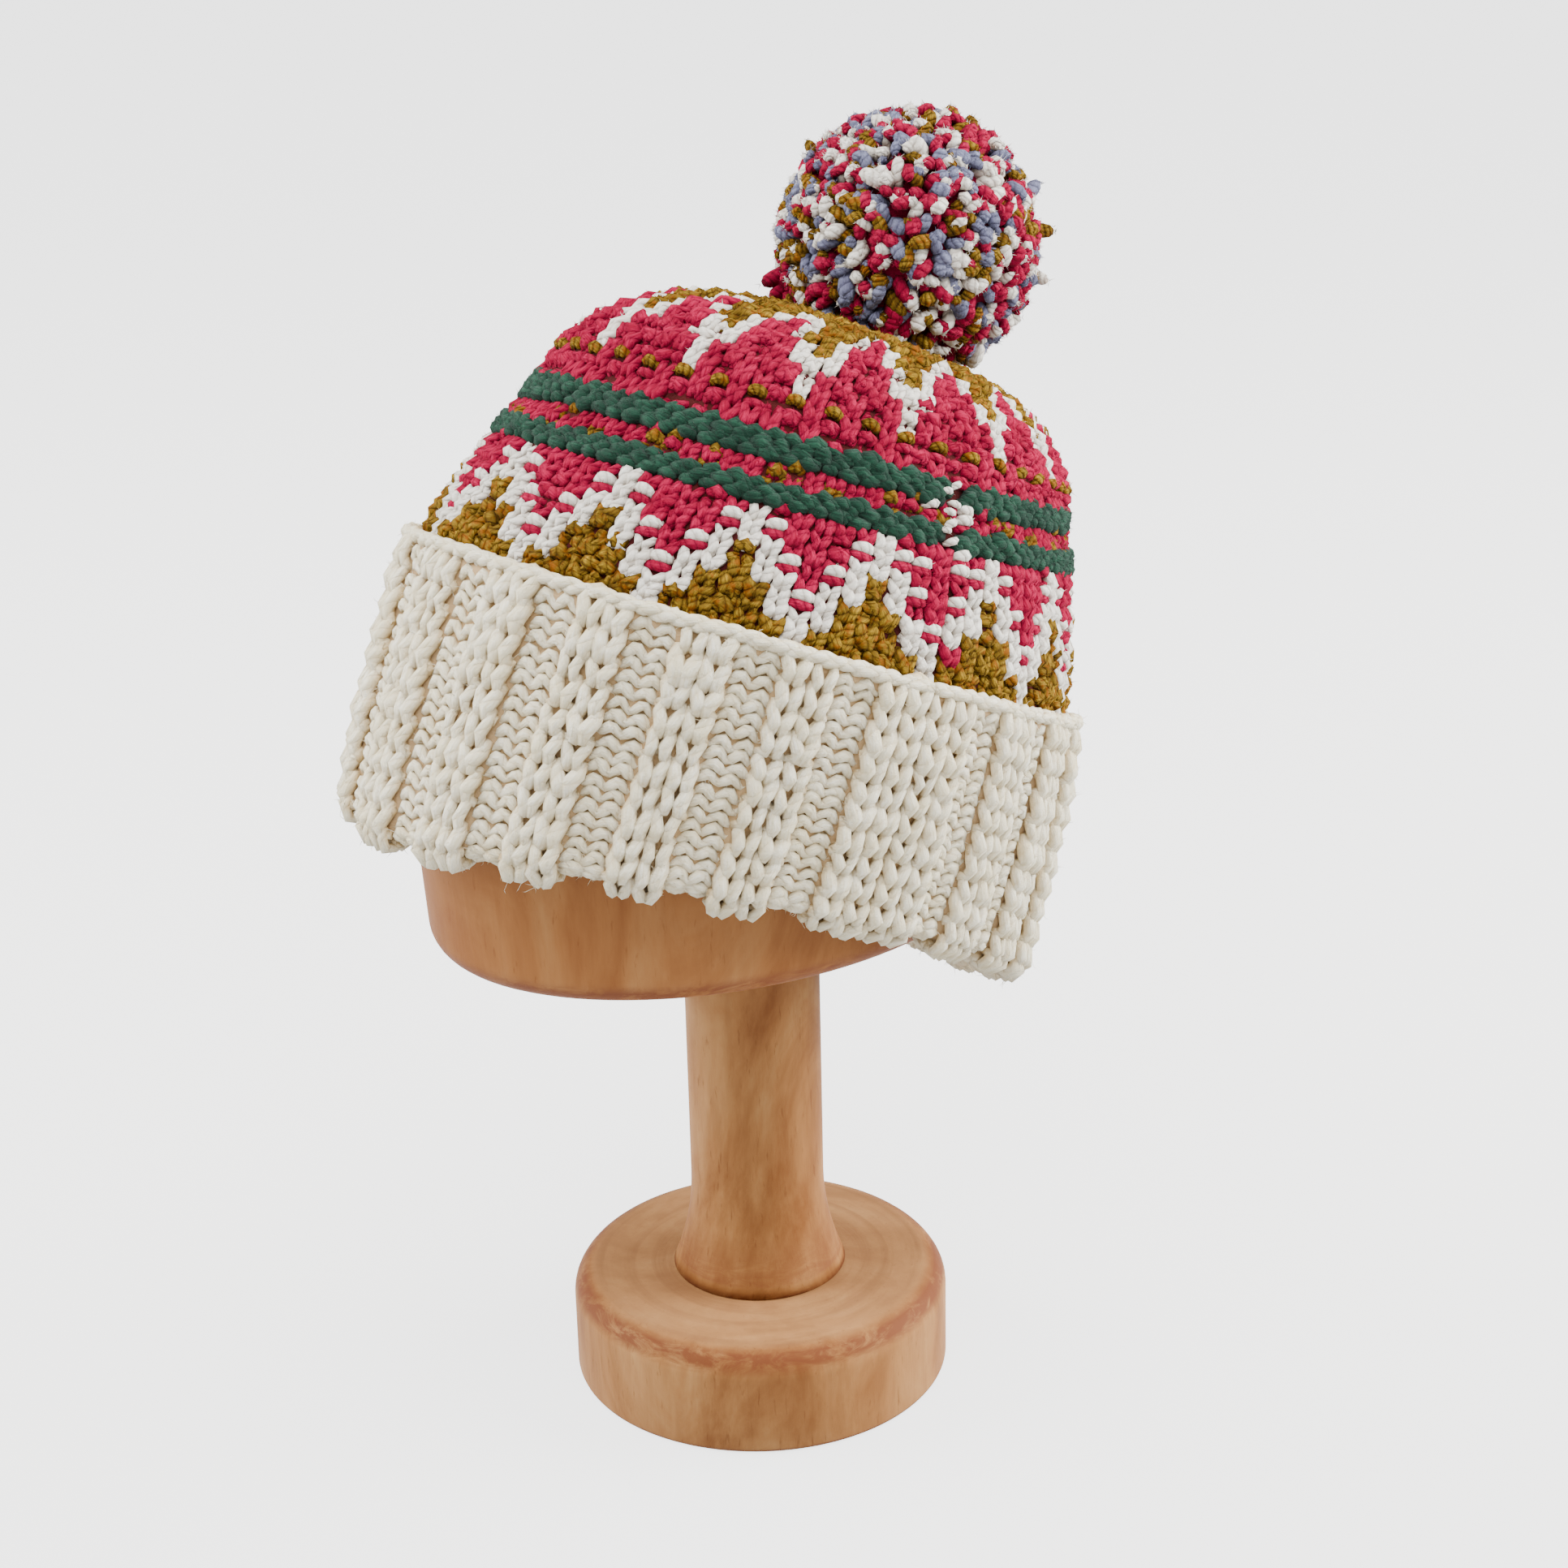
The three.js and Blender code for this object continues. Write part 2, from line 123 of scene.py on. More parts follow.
def cuff_surface(angle, height, inset=0.0):
    c = CUFF
    climb = height / c["height"]
    swell = c["bulge"] * np.sin(math.pi * np.clip(climb, 0, 1))
    return oval(angle,
                lerp(c["rim_length"], c["top_length"], climb) + swell - inset,
                lerp(c["rim_width"], c["top_width"], climb) + swell - inset,
                -c["top_forward"] * climb, height, c["top_slope"] * climb,
                lerp(c["rim_lift"], c["top_lift"], climb))


def cuff_band(angle, climb):
    """The folded band as one surface: up the outer face for a positive climb, round the fold and up
    the inner layer for a negative one."""
    fold = np.clip(-climb / FOLD_RADIUS, 0, math.pi)
    past = np.maximum(-climb - FOLD_LENGTH, 0)
    height = FOLD_RADIUS * (1 - np.sin(fold)) + np.maximum(climb, 0) + past
    return cuff_surface(angle, height, FOLD_RADIUS * (1 - np.cos(fold)))


def body_surface(angle, row):
    """Row counts the table's sections, with a smooth curve between them."""
    row = np.asarray(row, float)
    below = np.minimum(row, 0.0)
    row = np.clip(row, 0, LAST_SECTION - 1e-6)
    start = np.floor(row).astype(int)
    weight = (row - start)[..., None]
    before, first, second, after = (BODY_SECTIONS[np.clip(start + step, 0, LAST_SECTION)]
                                    for step in (-1, 0, 1, 2))
    leaving, arriving = (second - before) / 2, (after - first) / 2
    square, cube = weight ** 2, weight ** 3
    value = ((2 * cube - 3 * square + 1) * first + (cube - 2 * square + weight) * leaving
             + (3 * square - 2 * cube) * second + (cube - square) * arriving)
    inset = CUFF_WALL + CUFF_SLOT
    height = CUFF["height"] + CROWN_HEIGHT * value[..., 0] + BELOW_EDGE_STEP * below
    return oval(angle, (CUFF["top_length"] - inset) * value[..., 1],
                (CUFF["top_width"] - inset) * value[..., 2],
                CROWN_SET_BACK * value[..., 3], height, value[..., 4], CUFF["rim_lift"] * value[..., 5])


def raised(surface, angle, place, out, with_normals=False):
    """Points on a surface, moved out along its normal. Angles, places and distances are arrays."""
    angle, place, out = np.broadcast_arrays(np.asarray(angle, float), np.asarray(place, float),
                                            np.asarray(out, float))
    step = 1e-3
    point = surface(angle, place)
    around = surface(angle + step, place) - surface(angle - step, place)
    upward = surface(angle, place + step) - surface(angle, place - step)
    normal = np.cross(around, upward)
    normal /= np.maximum(np.linalg.norm(normal, axis=-1, keepdims=True), 1e-12)
    points = to_row_frame(point + normal * out[..., None])
    if with_normals:
        return points, normal @ BEANIE_TURN.T
    return points


def body_arc_table():
    """Distance up the body from its edge, in millimetres, at each place between the sections."""
    places = np.linspace(0, LAST_SECTION - 1e-3, 600)
    angles = np.linspace(0, 2 * math.pi, 24, endpoint=False)
    grid = body_surface(angles[None, :], np.repeat(places[:, None], angles.size, axis=1))
    lengths = np.linalg.norm(np.diff(grid, axis=0), axis=-1).mean(axis=1)
    return places, np.concatenate([[0], np.cumsum(lengths)])


ARC_PLACES, ARC_LENGTHS = body_arc_table()


def body_place(arc):
    arc = np.asarray(arc, float)
    return np.where(arc < 0, arc / BELOW_EDGE_STEP, np.interp(arc, ARC_LENGTHS, ARC_PLACES))


def arc_of(place):
    return float(np.interp(place, ARC_PLACES, ARC_LENGTHS))


def column_angle(turn):
    """Where a column stands, for its share of a full turn: the knitting is drawn wider at the front."""
    turn = np.asarray(turn, float) * 2 * math.pi
    return turn + SEAM_ANGLE - COLUMN_SKEW * np.sin(turn) + COLUMN_SPREAD * (np.cos(turn) - 1)


# Yarn

def unit(vectors):
    return vectors / np.linalg.norm(vectors, axis=1, keepdims=True)


def placed(name, data):
    item = bpy.data.objects.new(name, data)
    bpy.context.scene.collection.objects.link(item)
    return item


def mesh_of(maker, name):
    mesh = bpy.data.meshes.new(name)
    maker.to_mesh(mesh)
    maker.free()
    return mesh


class Yarn:
    """Collects strands of one yarn and makes them one mesh of tubes, with each tube's twist in its UV map and
    painted shade in a point attribute, darker where it lies deep between its neighbours."""

    def __init__(self, name, sides=6):
        self.name = name
        self.sides = sides
        self.curve = bpy.data.curves.new(name, "CURVE")
        self.curve.dimensions = "3D"
        self.curve.bevel_depth = 1.0
        self.curve.bevel_resolution = (sides - 4) // 2
        self.curve.use_fill_caps = True
        self.points, self.normals, self.tones, self.radii = [], [], [], []

    def add(self, points, radii, normals, tone=0.0):
        spline = self.curve.splines.new("POLY")
        spline.points.add(len(points) - 1)
        flat = np.ones((len(points), 4))
        flat[:, :3] = points
        spline.points.foreach_set("co", flat.ravel())
        spline.points.foreach_set("radius", np.asarray(radii, float).ravel() * MM)
        self.points.append(points)
        self.normals.append(normals)
        self.tones.append(np.broadcast_to(tone, (len(points),)))
        self.radii.append(np.broadcast_to(radii, (len(points),)))

    def finish(self, material, slot, node):
        holder = placed(self.name + "_path", self.curve)
        depsgraph = bpy.context.evaluated_depsgraph_get()
        mesh = bpy.data.meshes.new_from_object(holder.evaluated_get(depsgraph))
        mesh.name = self.name
        bpy.data.objects.remove(holder)
        self.mark(mesh)
        welded = bmesh.new()
        welded.from_mesh(mesh)
        bmesh.ops.remove_doubles(welded, verts=welded.verts, dist=1e-8)
        welded.to_mesh(mesh)
        welded.free()
        return show(self.name, mesh, material, node)

    def mark(self, mesh):
        sides = self.sides
        counts = np.array([len(points) for points in self.points])
        caps = 2 * sides * len(counts)
        if len(mesh.vertices) != caps + counts.sum() * sides:
            raise RuntimeError(self.name + " has an unexpected number of vertices")
        place = np.empty(len(mesh.vertices) * 3)
        mesh.vertices.foreach_get("co", place)
        ring = place.reshape(-1, 3)[caps:].reshape(-1, sides, 3)
        middle = np.concatenate(self.points)[:, None]
        normal = np.concatenate(self.normals)[:, None]
        # Painted shade: a tube is darker on its sides that face away from the surface and where its strand
        # lies further back, and darkest on its caps.
        spoke = ring - middle
        facing = (spoke * normal).sum(-1) / np.maximum(np.linalg.norm(spoke, axis=-1), 1e-9)
        tone = np.concatenate(self.tones)[:, None] * 0.55 + 0.5 - 0.62 * facing
        tones = np.concatenate([np.ones(caps), np.clip(tone, 0, 1).ravel()])
        mesh.attributes.new("tone", "FLOAT", "POINT").data.foreach_set("value", tones)
        lengths = np.array([np.linalg.norm(np.diff(points, axis=0), axis=1).sum() / MM
                            for points in self.points])
        starts = rng.uniform(0, 50, len(counts))
        of_vertex = np.concatenate([np.zeros(caps, int), np.repeat(np.arange(len(counts)), counts * sides)])
        corners = len(mesh.loops)
        vertex_of_corner = np.empty(corners, int)
        mesh.loops.foreach_get("vertex_index", vertex_of_corner)
        layer = mesh.uv_layers[0]
        uv = np.empty(corners * 2)
        layer.data.foreach_get("uv", uv)
        uv = uv.reshape(-1, 2)
        strand = of_vertex[vertex_of_corner]
        uv[:, 0] = uv[:, 0] * lengths[strand] + starts[strand]
        uv[vertex_of_corner < caps] = 0
        layer.data.foreach_set("uv", uv.ravel())


def show(name, mesh, material, node):
    """A mesh as a finished piece on the part's one body."""
    mesh.materials.clear()
    mesh.materials.append(material)
    mesh.polygons.foreach_set("use_smooth", [True] * len(mesh.polygons))
    piece = placed(name, mesh)
    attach(piece, "root")
    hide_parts(node)
    return piece


def wander(count, size, smooth=3):
    """A smooth random walk about zero."""
    noise = rng.normal(0, 1, count + 2 * smooth)
    kernel = np.hanning(2 * smooth + 1)
    return size * np.convolve(noise, kernel / np.sqrt((kernel ** 2).sum()), "same")[smooth:smooth + count]


# Forms of a knit and a purl stitch: height as a share of the row's pitch, depth in millimetres, lean as a
# share of the width, and the yarn's thinnest part and its swell as shares of its thickness
KNIT = dict(tall=0.84, depth=1.45, lean=0.23, thin=0.54, plump=0.50)
PURL = dict(tall=0.46, depth=1.35, lean=0.13, thin=0.78, plump=0.42)


def strand(surface, centres, widths, place, pitch, purls, thickness, recess,
           place_of=lambda value: value, steps=10, knit=KNIT, purl=PURL):
    """One yarn through neighbouring stitches of a row: its points, radii, normals and painted shade. Centres
    and widths are shares of a turn, and every other length is in millimetres."""
    loop = np.linspace(-math.pi, math.pi, steps + 1)
    turns, heights, outs, radii, tones = [], [], [], [], []
    last = len(centres) - 1
    for index, (centre, width) in enumerate(zip(centres, widths)):
        form = purl if purls[index] else knit
        tall = form["tall"] * pitch * (1 + rng.normal(0, 0.06))
        lean = form["lean"] * (1 + rng.normal(0, 0.15))
        lower = (np.abs(loop) / math.pi) ** 1.36 * math.pi
        face = form["depth"] * (np.cos(2 * loop) if purls[index] else -np.cos(2 * lower))
        if index > 0 and purls[index - 1] != purls[index]:
            face[:2] *= (0.0, 0.6)
        if index < last and purls[index + 1] != purls[index]:
            face[-2:] *= (0.6, 0.0)
        if index == 0:
            face[0] = -form["depth"]
        if index == last:
            face[-1] = -form["depth"]
        swing = np.abs(np.cos(loop)) if purls[index] else np.sin(lower)
        first = 0 if index == 0 else 1
        turns.append((centre + width * (loop / (2 * math.pi) + lean * np.sin(2 * loop)))[first:])
        heights.append((tall * np.cos(loop) + rng.normal(0, 0.06) * pitch)[first:])
        outs.append((face - recess + rng.normal(0, 0.2))[first:])
        radii.append((thickness * (form["thin"] + form["plump"] * swing) * (1 + rng.normal(0, 0.10)))[first:])
        # Painted shade: darker where the yarn dips back into the stitch, lighter where it comes forward.
        tones.append((0.5 - 0.5 * face / form["depth"])[first:])
    turns, heights, outs, radii, tones = (np.concatenate(part)
                                          for part in (turns, heights, outs, radii, tones))
    radii = radii * (1 + wander(len(radii), 0.05, 3))
    outs = outs + wander(len(outs), 0.10, 4)
    points, normals = raised(surface, column_angle(turns), place_of(place + heights), outs, True)
    return points, radii, normals, tones


def hair_form(bends):
    """One loose fibre, unit long along Z: its corners and its triangles."""
    maker = bmesh.new()
    bmesh.ops.create_cone(maker, cap_ends=True, segments=3, radius1=1, radius2=0.7 if bends else 0, depth=1)
    if bends:
        top = [face for face in maker.faces if face.normal.z > 0.9]
        bmesh.ops.poke(maker, faces=top, offset=1)
    bmesh.ops.remove_doubles(maker, verts=maker.verts, dist=1e-4)
    bmesh.ops.triangulate(maker, faces=maker.faces)
    maker.verts.index_update()
    corners = np.array([tuple(vertex.co) for vertex in maker.verts])
    triangles = np.array([[vertex.index for vertex in face.verts] for face in maker.faces])
    maker.free()
    corners[:, 2] = (corners[:, 2] - corners[:, 2].min()) / np.ptp(corners[:, 2])
    return corners, triangles


def fuzz(name, yarn, count, length, material, node, thickness=0.10, bends=True, lie=0.6, at_rim=0.0):
    """Loose fibres that stand off a yarn, with more of them near the rim where asked."""
    corners, triangles = hair_form(bends)
    everywhere = np.concatenate(yarn.points)
    level = (everywhere / MM - RIM_PLACE) @ BEANIE_TURN[:, 2]
    weight = 1 + at_rim * np.exp(-(level / 7) ** 2)
    pick = rng.choice(len(everywhere), count, p=weight / weight.sum())
    point, normal = everywhere[pick], np.concatenate(yarn.normals)[pick]
    radius = np.concatenate(yarn.radii)[pick]
    side = unit(normal + rng.normal(0, 0.55, (count, 3)))
    heading = unit(side * rng.uniform(0.25, 1.0, (count, 1)) + rng.normal(0, lie, (count, 3)))
    reach = length * rng.uniform(0.45, 1.35, (count, 1, 1)) * MM
    start = point + side * (radius[:, None] * 0.85) * MM
    bow = rng.normal(0, 0.25 if bends else 0.0, (count, 1, 3)) * reach
    first = unit(np.cross(heading, rng.normal(0, 1, (count, 3))))
    second = np.cross(heading, first)
    share = corners[None, :, 2:]
    spread = thickness * MM * (corners[None, :, :1] * first[:, None]
                               + corners[None, :, 1:2] * second[:, None])
    place = start[:, None] + heading[:, None] * reach * share + bow * np.sin(share * 2.4) + spread
    faces = (triangles[None] + len(corners) * np.arange(count)[:, None, None]).reshape(-1, 3)
    mesh = bpy.data.meshes.new(name)
    mesh.from_pydata(place.reshape(-1, 3), [], faces)
    layer = mesh.uv_layers.new(name="UVMap")
    starts = np.repeat(rng.uniform(0, 50, count), triangles.size)
    layer.data.foreach_set("uv", np.stack([starts, starts * 0.37 % 1], axis=-1).ravel())
    return show(name, mesh, material, node)


# Materials

def new_material(name):
    material = bpy.data.materials.new(name)
    material.use_nodes = True
    return material, material.node_tree, material.node_tree.nodes["Principled BSDF"]


def set_inputs(node, values):
    for name, value in values.items():
        node.inputs[name].default_value = value


def value_node(group, operation, *sources):
    node = group.nodes.new("ShaderNodeMath")
    node.operation = operation
    for socket, source in zip(node.inputs, sources):
        if isinstance(source, (int, float)):
            socket.default_value = source
        else:
            group.links.new(source, socket)
    return node.outputs["Value"]


def times(group, first, second):
    return value_node(group, "MULTIPLY", first, second)


def blend_node(group, factor, first, second):
    node = group.nodes.new("ShaderNodeMix")
    node.data_type = "RGBA"
    for name, source in (("Factor", factor), ("A", first), ("B", second)):
        if isinstance(source, (int, float)):
            node.inputs[name].default_value = source
        elif isinstance(source, tuple):
            node.inputs[name].default_value = (*source, 1)
        else:
            group.links.new(source, node.inputs[name])
    return node.outputs["Result"]


def noise_node(group, coordinate, scale, detail=2.0, roughness=0.5, distortion=0.0):
    node = group.nodes.new("ShaderNodeTexNoise")
    set_inputs(node, {"Scale": scale, "Detail": detail, "Roughness": roughness, "Distortion": distortion})
    group.links.new(coordinate, node.inputs["Vector"])
    return node.outputs["Fac"]


def range_node(group, value, low, high):
    node = group.nodes.new("ShaderNodeMapRange")
    set_inputs(node, {"From Min": low, "From Max": high})
    group.links.new(value, node.inputs["Value"])
    return node.outputs["Result"]


def add_bump(tree, height, shader, strength, distance):
    bump = tree.nodes.new("ShaderNodeBump")
    set_inputs(bump, {"Strength": strength, "Distance": distance})
    tree.links.new(height, bump.inputs["Height"])
    tree.links.new(bump.outputs["Normal"], shader.inputs["Normal"])


def yarn_group():
    """Plies, fibres and dye of a wool yarn, with painted shade in its ply grooves and between the tubes: its
    colour, and its height for a bump.
    """
    group = bpy.data.node_groups.new("yarn surface", "ShaderNodeTree")
    face = group.interface
    for name in ("Base", "Light", "Dark", "Deep", "Fleck"):
        face.new_socket(name, in_out="INPUT", socket_type="NodeSocketColor")
    for name in ("Fleck Amount", "Deep Amount", "Groove", "Ply Length", "Ply Height"):
        face.new_socket(name, in_out="INPUT", socket_type="NodeSocketFloat")
    face.new_socket("Color", in_out="OUTPUT", socket_type="NodeSocketColor")
    face.new_socket("Height", in_out="OUTPUT", socket_type="NodeSocketFloat")
    given = group.nodes.new("NodeGroupInput").outputs
    result = group.nodes.new("NodeGroupOutput").inputs
    place = group.nodes.new("ShaderNodeTexCoord").outputs
    uv = group.nodes.new("ShaderNodeSeparateXYZ")
    group.links.new(place["UV"], uv.inputs["Vector"])
    along = value_node(group, "DIVIDE", uv.outputs["X"], given["Ply Length"])
    turn = value_node(group, "SUBTRACT", times(group, uv.outputs["Y"], 2.0), along)
    wave = value_node(group, "SINE", times(group, turn, math.pi))
    ply = value_node(group, "POWER", value_node(group, "ABSOLUTE", wave), 0.8)
    around = times(group, uv.outputs["Y"], 2 * math.pi)
    strands = group.nodes.new("ShaderNodeCombineXYZ")
    group.links.new(times(group, uv.outputs["X"], 0.16), strands.inputs["X"])
    group.links.new(times(group, value_node(group, "SINE", around), 1.6), strands.inputs["Y"])
    group.links.new(times(group, value_node(group, "COSINE", around), 1.6), strands.inputs["Z"])
    streak = noise_node(group, strands.outputs["Vector"], 1.9, 4, 0.65, 0.4)
    cloud = noise_node(group, place["Object"], 95, 2, 0.6)
    patch = noise_node(group, place["Object"], 330, 3, 0.6)
    fibre = noise_node(group, place["Object"], 1700, 3, 0.75, 0.5)
    colour = blend_node(group, range_node(group, streak, 0.36, 0.64), given["Dark"], given["Light"])
    colour = blend_node(group, 0.30, colour, given["Base"])
    shade = times(group, range_node(group, cloud, 0.60, 0.36), 0.55)
    colour = blend_node(group, shade, colour, given["Dark"])
    mixed = times(group, range_node(group, patch, 0.50, 0.64), given["Fleck Amount"])
    colour = blend_node(group, mixed, colour, given["Fleck"])
    # Painted shade in the grooves between the plies.
    valley = value_node(group, "POWER", value_node(group, "SUBTRACT", 1.0, ply), 2.0)
    colour = blend_node(group, times(group, valley, given["Groove"]), colour, given["Deep"])
    # Painted shade from the point attribute: darker where the tube lies deep between its neighbours.
    tone = group.nodes.new("ShaderNodeAttribute")
    tone.attribute_name = "tone"
    sunk = value_node(group, "POWER", tone.outputs["Fac"], 1.6)
    colour = blend_node(group, times(group, sunk, given["Deep Amount"]), colour, given["Deep"])
    hairs = value_node(group, "MULTIPLY_ADD", fibre, 0.9, times(group, streak, 1.1))
    height = value_node(group, "ADD", times(group, ply, given["Ply Height"]), hairs)
    group.links.new(colour, result["Color"])
    group.links.new(height, result["Height"])
    return group


YARN_SURFACE = yarn_group()


def wool(name, base, dark, light, deep, deep_amount=0.8, fleck=None, groove=0.4, ply_length=3.0, sheen=0.03,
         ply_height=1.4):
    material, tree, shader = new_material(name)
    set_inputs(shader, {"Roughness": 1.0, "Specular IOR Level": 0.05, "Sheen Weight": sheen,
                        "Sheen Roughness": 0.5})
    surface = tree.nodes.new("ShaderNodeGroup")
    surface.node_tree = YARN_SURFACE
    set_inputs(surface, {"Base": (*base, 1), "Dark": (*dark, 1), "Light": (*light, 1), "Deep": (*deep, 1),
                         "Fleck": (*(fleck or base), 1), "Fleck Amount": 0.85 if fleck else 0.0,
                         "Deep Amount": deep_amount, "Groove": groove, "Ply Length": ply_length,
                         "Ply Height": ply_height})
    tree.links.new(surface.outputs["Color"], shader.inputs["Base Color"])
    add_bump(tree, surface.outputs["Height"], shader, strength=0.9, distance=0.0008)
    return material


# Base, dark, light and deep colour of each wool; the deep colour is painted shade for the crevices and the
# ply grooves
cuff_wool = wool("cuff_wool", (0.82, 0.77, 0.605), (0.72, 0.635, 0.42), (0.91, 0.88, 0.76),
                 (0.56, 0.38, 0.165), groove=0.28, ply_length=4.2, ply_height=0.85)
cream_wool = wool("cream_wool", (0.80, 0.77, 0.70), (0.68, 0.63, 0.54), (0.88, 0.86, 0.80),
                  (0.42, 0.30, 0.22), deep_amount=0.75)
crimson_wool = wool("crimson_wool", (0.35, 0.0045, 0.040), (0.19, 0.001, 0.017), (0.55, 0.015, 0.082),
                    (0.055, 0.0, 0.006), deep_amount=0.9, groove=0.48, sheen=0.01)
mustard_wool = wool("mustard_wool", (0.180, 0.096, 0.011), (0.045, 0.019, 0.003), (0.46, 0.290, 0.028),
                    (0.032, 0.011, 0.002), deep_amount=0.9, fleck=(0.22, 0.065, 0.006), groove=0.75,
                    ply_length=2.3, sheen=0.0, ply_height=1.8)
green_wool = wool("green_wool", (0.0100, 0.041, 0.0235), (0.0040, 0.017, 0.0105), (0.025, 0.090, 0.053),
                  (0.0015, 0.006, 0.004), deep_amount=0.9, sheen=0.06)
grey_wool = wool("grey_wool", (0.165, 0.175, 0.265), (0.09, 0.09, 0.15), (0.27, 0.285, 0.40),
                 (0.05, 0.04, 0.08))
# Painted shade: the lining and the cuff's backing are dark, shaded copies of the wool behind the stitches,
# seen in the gaps between them.
shaded_lining_wool = wool("shaded_lining_wool", (0.075, 0.012, 0.012), (0.05, 0.008, 0.007), (0.11, 0.02, 0.02),
                   (0.05, 0.004, 0.005), deep_amount=0.0)
shaded_backing_wool = wool("cuff_backing_shaded_wool", (0.55, 0.39, 0.21), (0.46, 0.31, 0.16), (0.62, 0.46, 0.28),
                    (0.40, 0.25, 0.12), deep_amount=0.0)

SLOTS = {"C": (cream_wool, "cream_wool"), "R": (crimson_wool, "crimson_wool"),
         "M": (mustard_wool, "mustard_wool"), "G": (green_wool, "green_wool"),
         "Y": (grey_wool, "grey_wool")}


def stretched_noise(tree, coordinate, stretch, turn, scale, detail, roughness, distortion):
    mapping = tree.nodes.new("ShaderNodeMapping")
    set_inputs(mapping, {"Scale": stretch, "Rotation": turn})
    tree.links.new(coordinate, mapping.inputs["Vector"])
    return noise_node(tree, mapping.outputs["Vector"], scale, detail, roughness, distortion)


def wood_material():
    """Waxed beech: soft swirls, short pores along the height and darker wax brushed on the rounded edges,
    with painted shade on the block under the beanie and a painted reflection on the flat faces.
    """
    material, tree, shader = new_material("stand_wood")
    nodes, links = tree.nodes, tree.links
    set_inputs(shader, {"Roughness": 0.6, "Specular IOR Level": 0.06})
    coord = nodes.new("ShaderNodeTexCoord").outputs["Object"]
    swirl = stretched_noise(tree, coord, (1, 1, 0.62), (0.25, 0.1, 0), 17, 6, 0.58, 2.2)
    ramp = nodes.new("ShaderNodeValToRGB")
    elements = ramp.color_ramp.elements
    elements[0].position, elements[0].color = 0.30, (0.160, 0.057, 0.0150, 1)
    elements[1].position, elements[1].color = 0.70, (0.355, 0.182, 0.067, 1)
    middle = elements.new(0.5)
    middle.color = (0.270, 0.120, 0.038, 1)
    links.new(swirl, ramp.inputs["Fac"])
    pores = stretched_noise(tree, coord, (1, 1, 0.16), (0.06, 0.05, 0), 620, 3, 0.6, 0.3)
    grain = stretched_noise(tree, coord, (1, 1, 0.14), (0.03, 0.02, 0), 210, 6, 0.65, 0.5)
    brushed = stretched_noise(tree, coord, (0.5, 0.5, 1.5), (0.6, 0.35, 0.2), 120, 7, 0.75, 0.8)
    colour = blend_node(tree, times(tree, range_node(tree, grain, 0.62, 0.38), 0.20), ramp.outputs["Color"],
                        (0.10, 0.030, 0.008))
    colour = blend_node(tree, times(tree, range_node(tree, pores, 0.62, 0.72), 0.45), colour,
                        (0.09, 0.026, 0.007))
    place = nodes.new("ShaderNodeSeparateXYZ")
    links.new(coord, place.inputs["Vector"])
    # Painted shade: darker and redder towards the top of the post and on the block, under the beanie.
    shade_under_beanie = range_node(tree, place.outputs["Z"], 0.150, 0.176)
    colour = blend_node(tree, times(tree, shade_under_beanie, 0.35), colour, (0.205, 0.064, 0.014))
    normal = nodes.new("ShaderNodeSeparateXYZ")
    links.new(nodes.new("ShaderNodeNewGeometry").outputs["Normal"], normal.inputs["Vector"])
    slope = value_node(tree, "ABSOLUTE", normal.outputs["Z"])
    across = times(tree, place.outputs["X"], place.outputs["X"])
    square = value_node(tree, "MULTIPLY_ADD", place.outputs["Y"], place.outputs["Y"], across)
    turned = nodes.new("ShaderNodeCombineXYZ")
    links.new(value_node(tree, "SQRT", square), turned.inputs["X"])
    links.new(times(tree, place.outputs["Y"], 0.10), turned.inputs["Y"])
    marks = noise_node(tree, turned.outputs["Vector"], 190, 5, 0.6, 0.25)
    # Painted reflection: flat faces lighter and paler, as a waxed top catching the light. The same mask also
    # carries the turning marks.
    flat = range_node(tree, slope, 0.90, 1.0)
    colour = blend_node(tree, times(tree, flat, 0.45), colour, (0.300, 0.160, 0.070))
    marks = times(tree, range_node(tree, marks, 0.46, 0.62), flat)
    colour = blend_node(tree, times(tree, marks, 0.40), colour, (0.160, 0.068, 0.028))
    edge = times(tree, range_node(tree, slope, 0.15, 0.50), range_node(tree, slope, 0.99, 0.80))
    worn = times(tree, edge, range_node(tree, brushed, 0.36, 0.54))
    colour = blend_node(tree, times(tree, worn, 0.92), colour, (0.130, 0.038, 0.014))
    links.new(colour, shader.inputs["Base Color"])
    height = value_node(tree, "ADD", grain, times(tree, brushed, 0.6))
    add_bump(tree, height, shader, strength=0.25, distance=0.0005)
    return material


stand_wood = wood_material()


# Shells behind the yarn

def ring_mesh(name, rings, closed_loop=False):
    """A closed skin through rings of points, made by drawing one edge loop after another upwards."""
    maker = bmesh.new()
    loop = bmesh.ops.create_circle(maker, cap_ends=False, radius=1, segments=len(rings[0]))["verts"]
    for vertex, point in zip(loop, rings[0]):
        vertex.co = point
    maker.edges.ensure_lookup_table()
    first_edges = edges = list(maker.edges)
    ordered = list(loop)
    for ring in rings[1:]:
        made = bmesh.ops.extrude_edge_only(maker, edges=edges)["geom"]
        vertices = {item for item in made if isinstance(item, bmesh.types.BMVert)}
        edges = [item for item in made if isinstance(item, bmesh.types.BMEdge)
                 and all(vertex in vertices for vertex in item.verts)]
        following = []
        for old in ordered:
            for edge in old.link_edges:
                other = edge.other_vert(old)
                if other in vertices:
                    following.append(other)
                    break
        for vertex, point in zip(following, ring):
            vertex.co = point
        ordered = following
    if closed_loop:
        bmesh.ops.bridge_loops(maker, edges=edges + first_edges)
    else:
        bmesh.ops.contextual_create(maker, geom=edges)
        bmesh.ops.contextual_create(maker, geom=first_edges)
    bmesh.ops.recalc_face_normals(maker, faces=maker.faces)
    return mesh_of(maker, name)


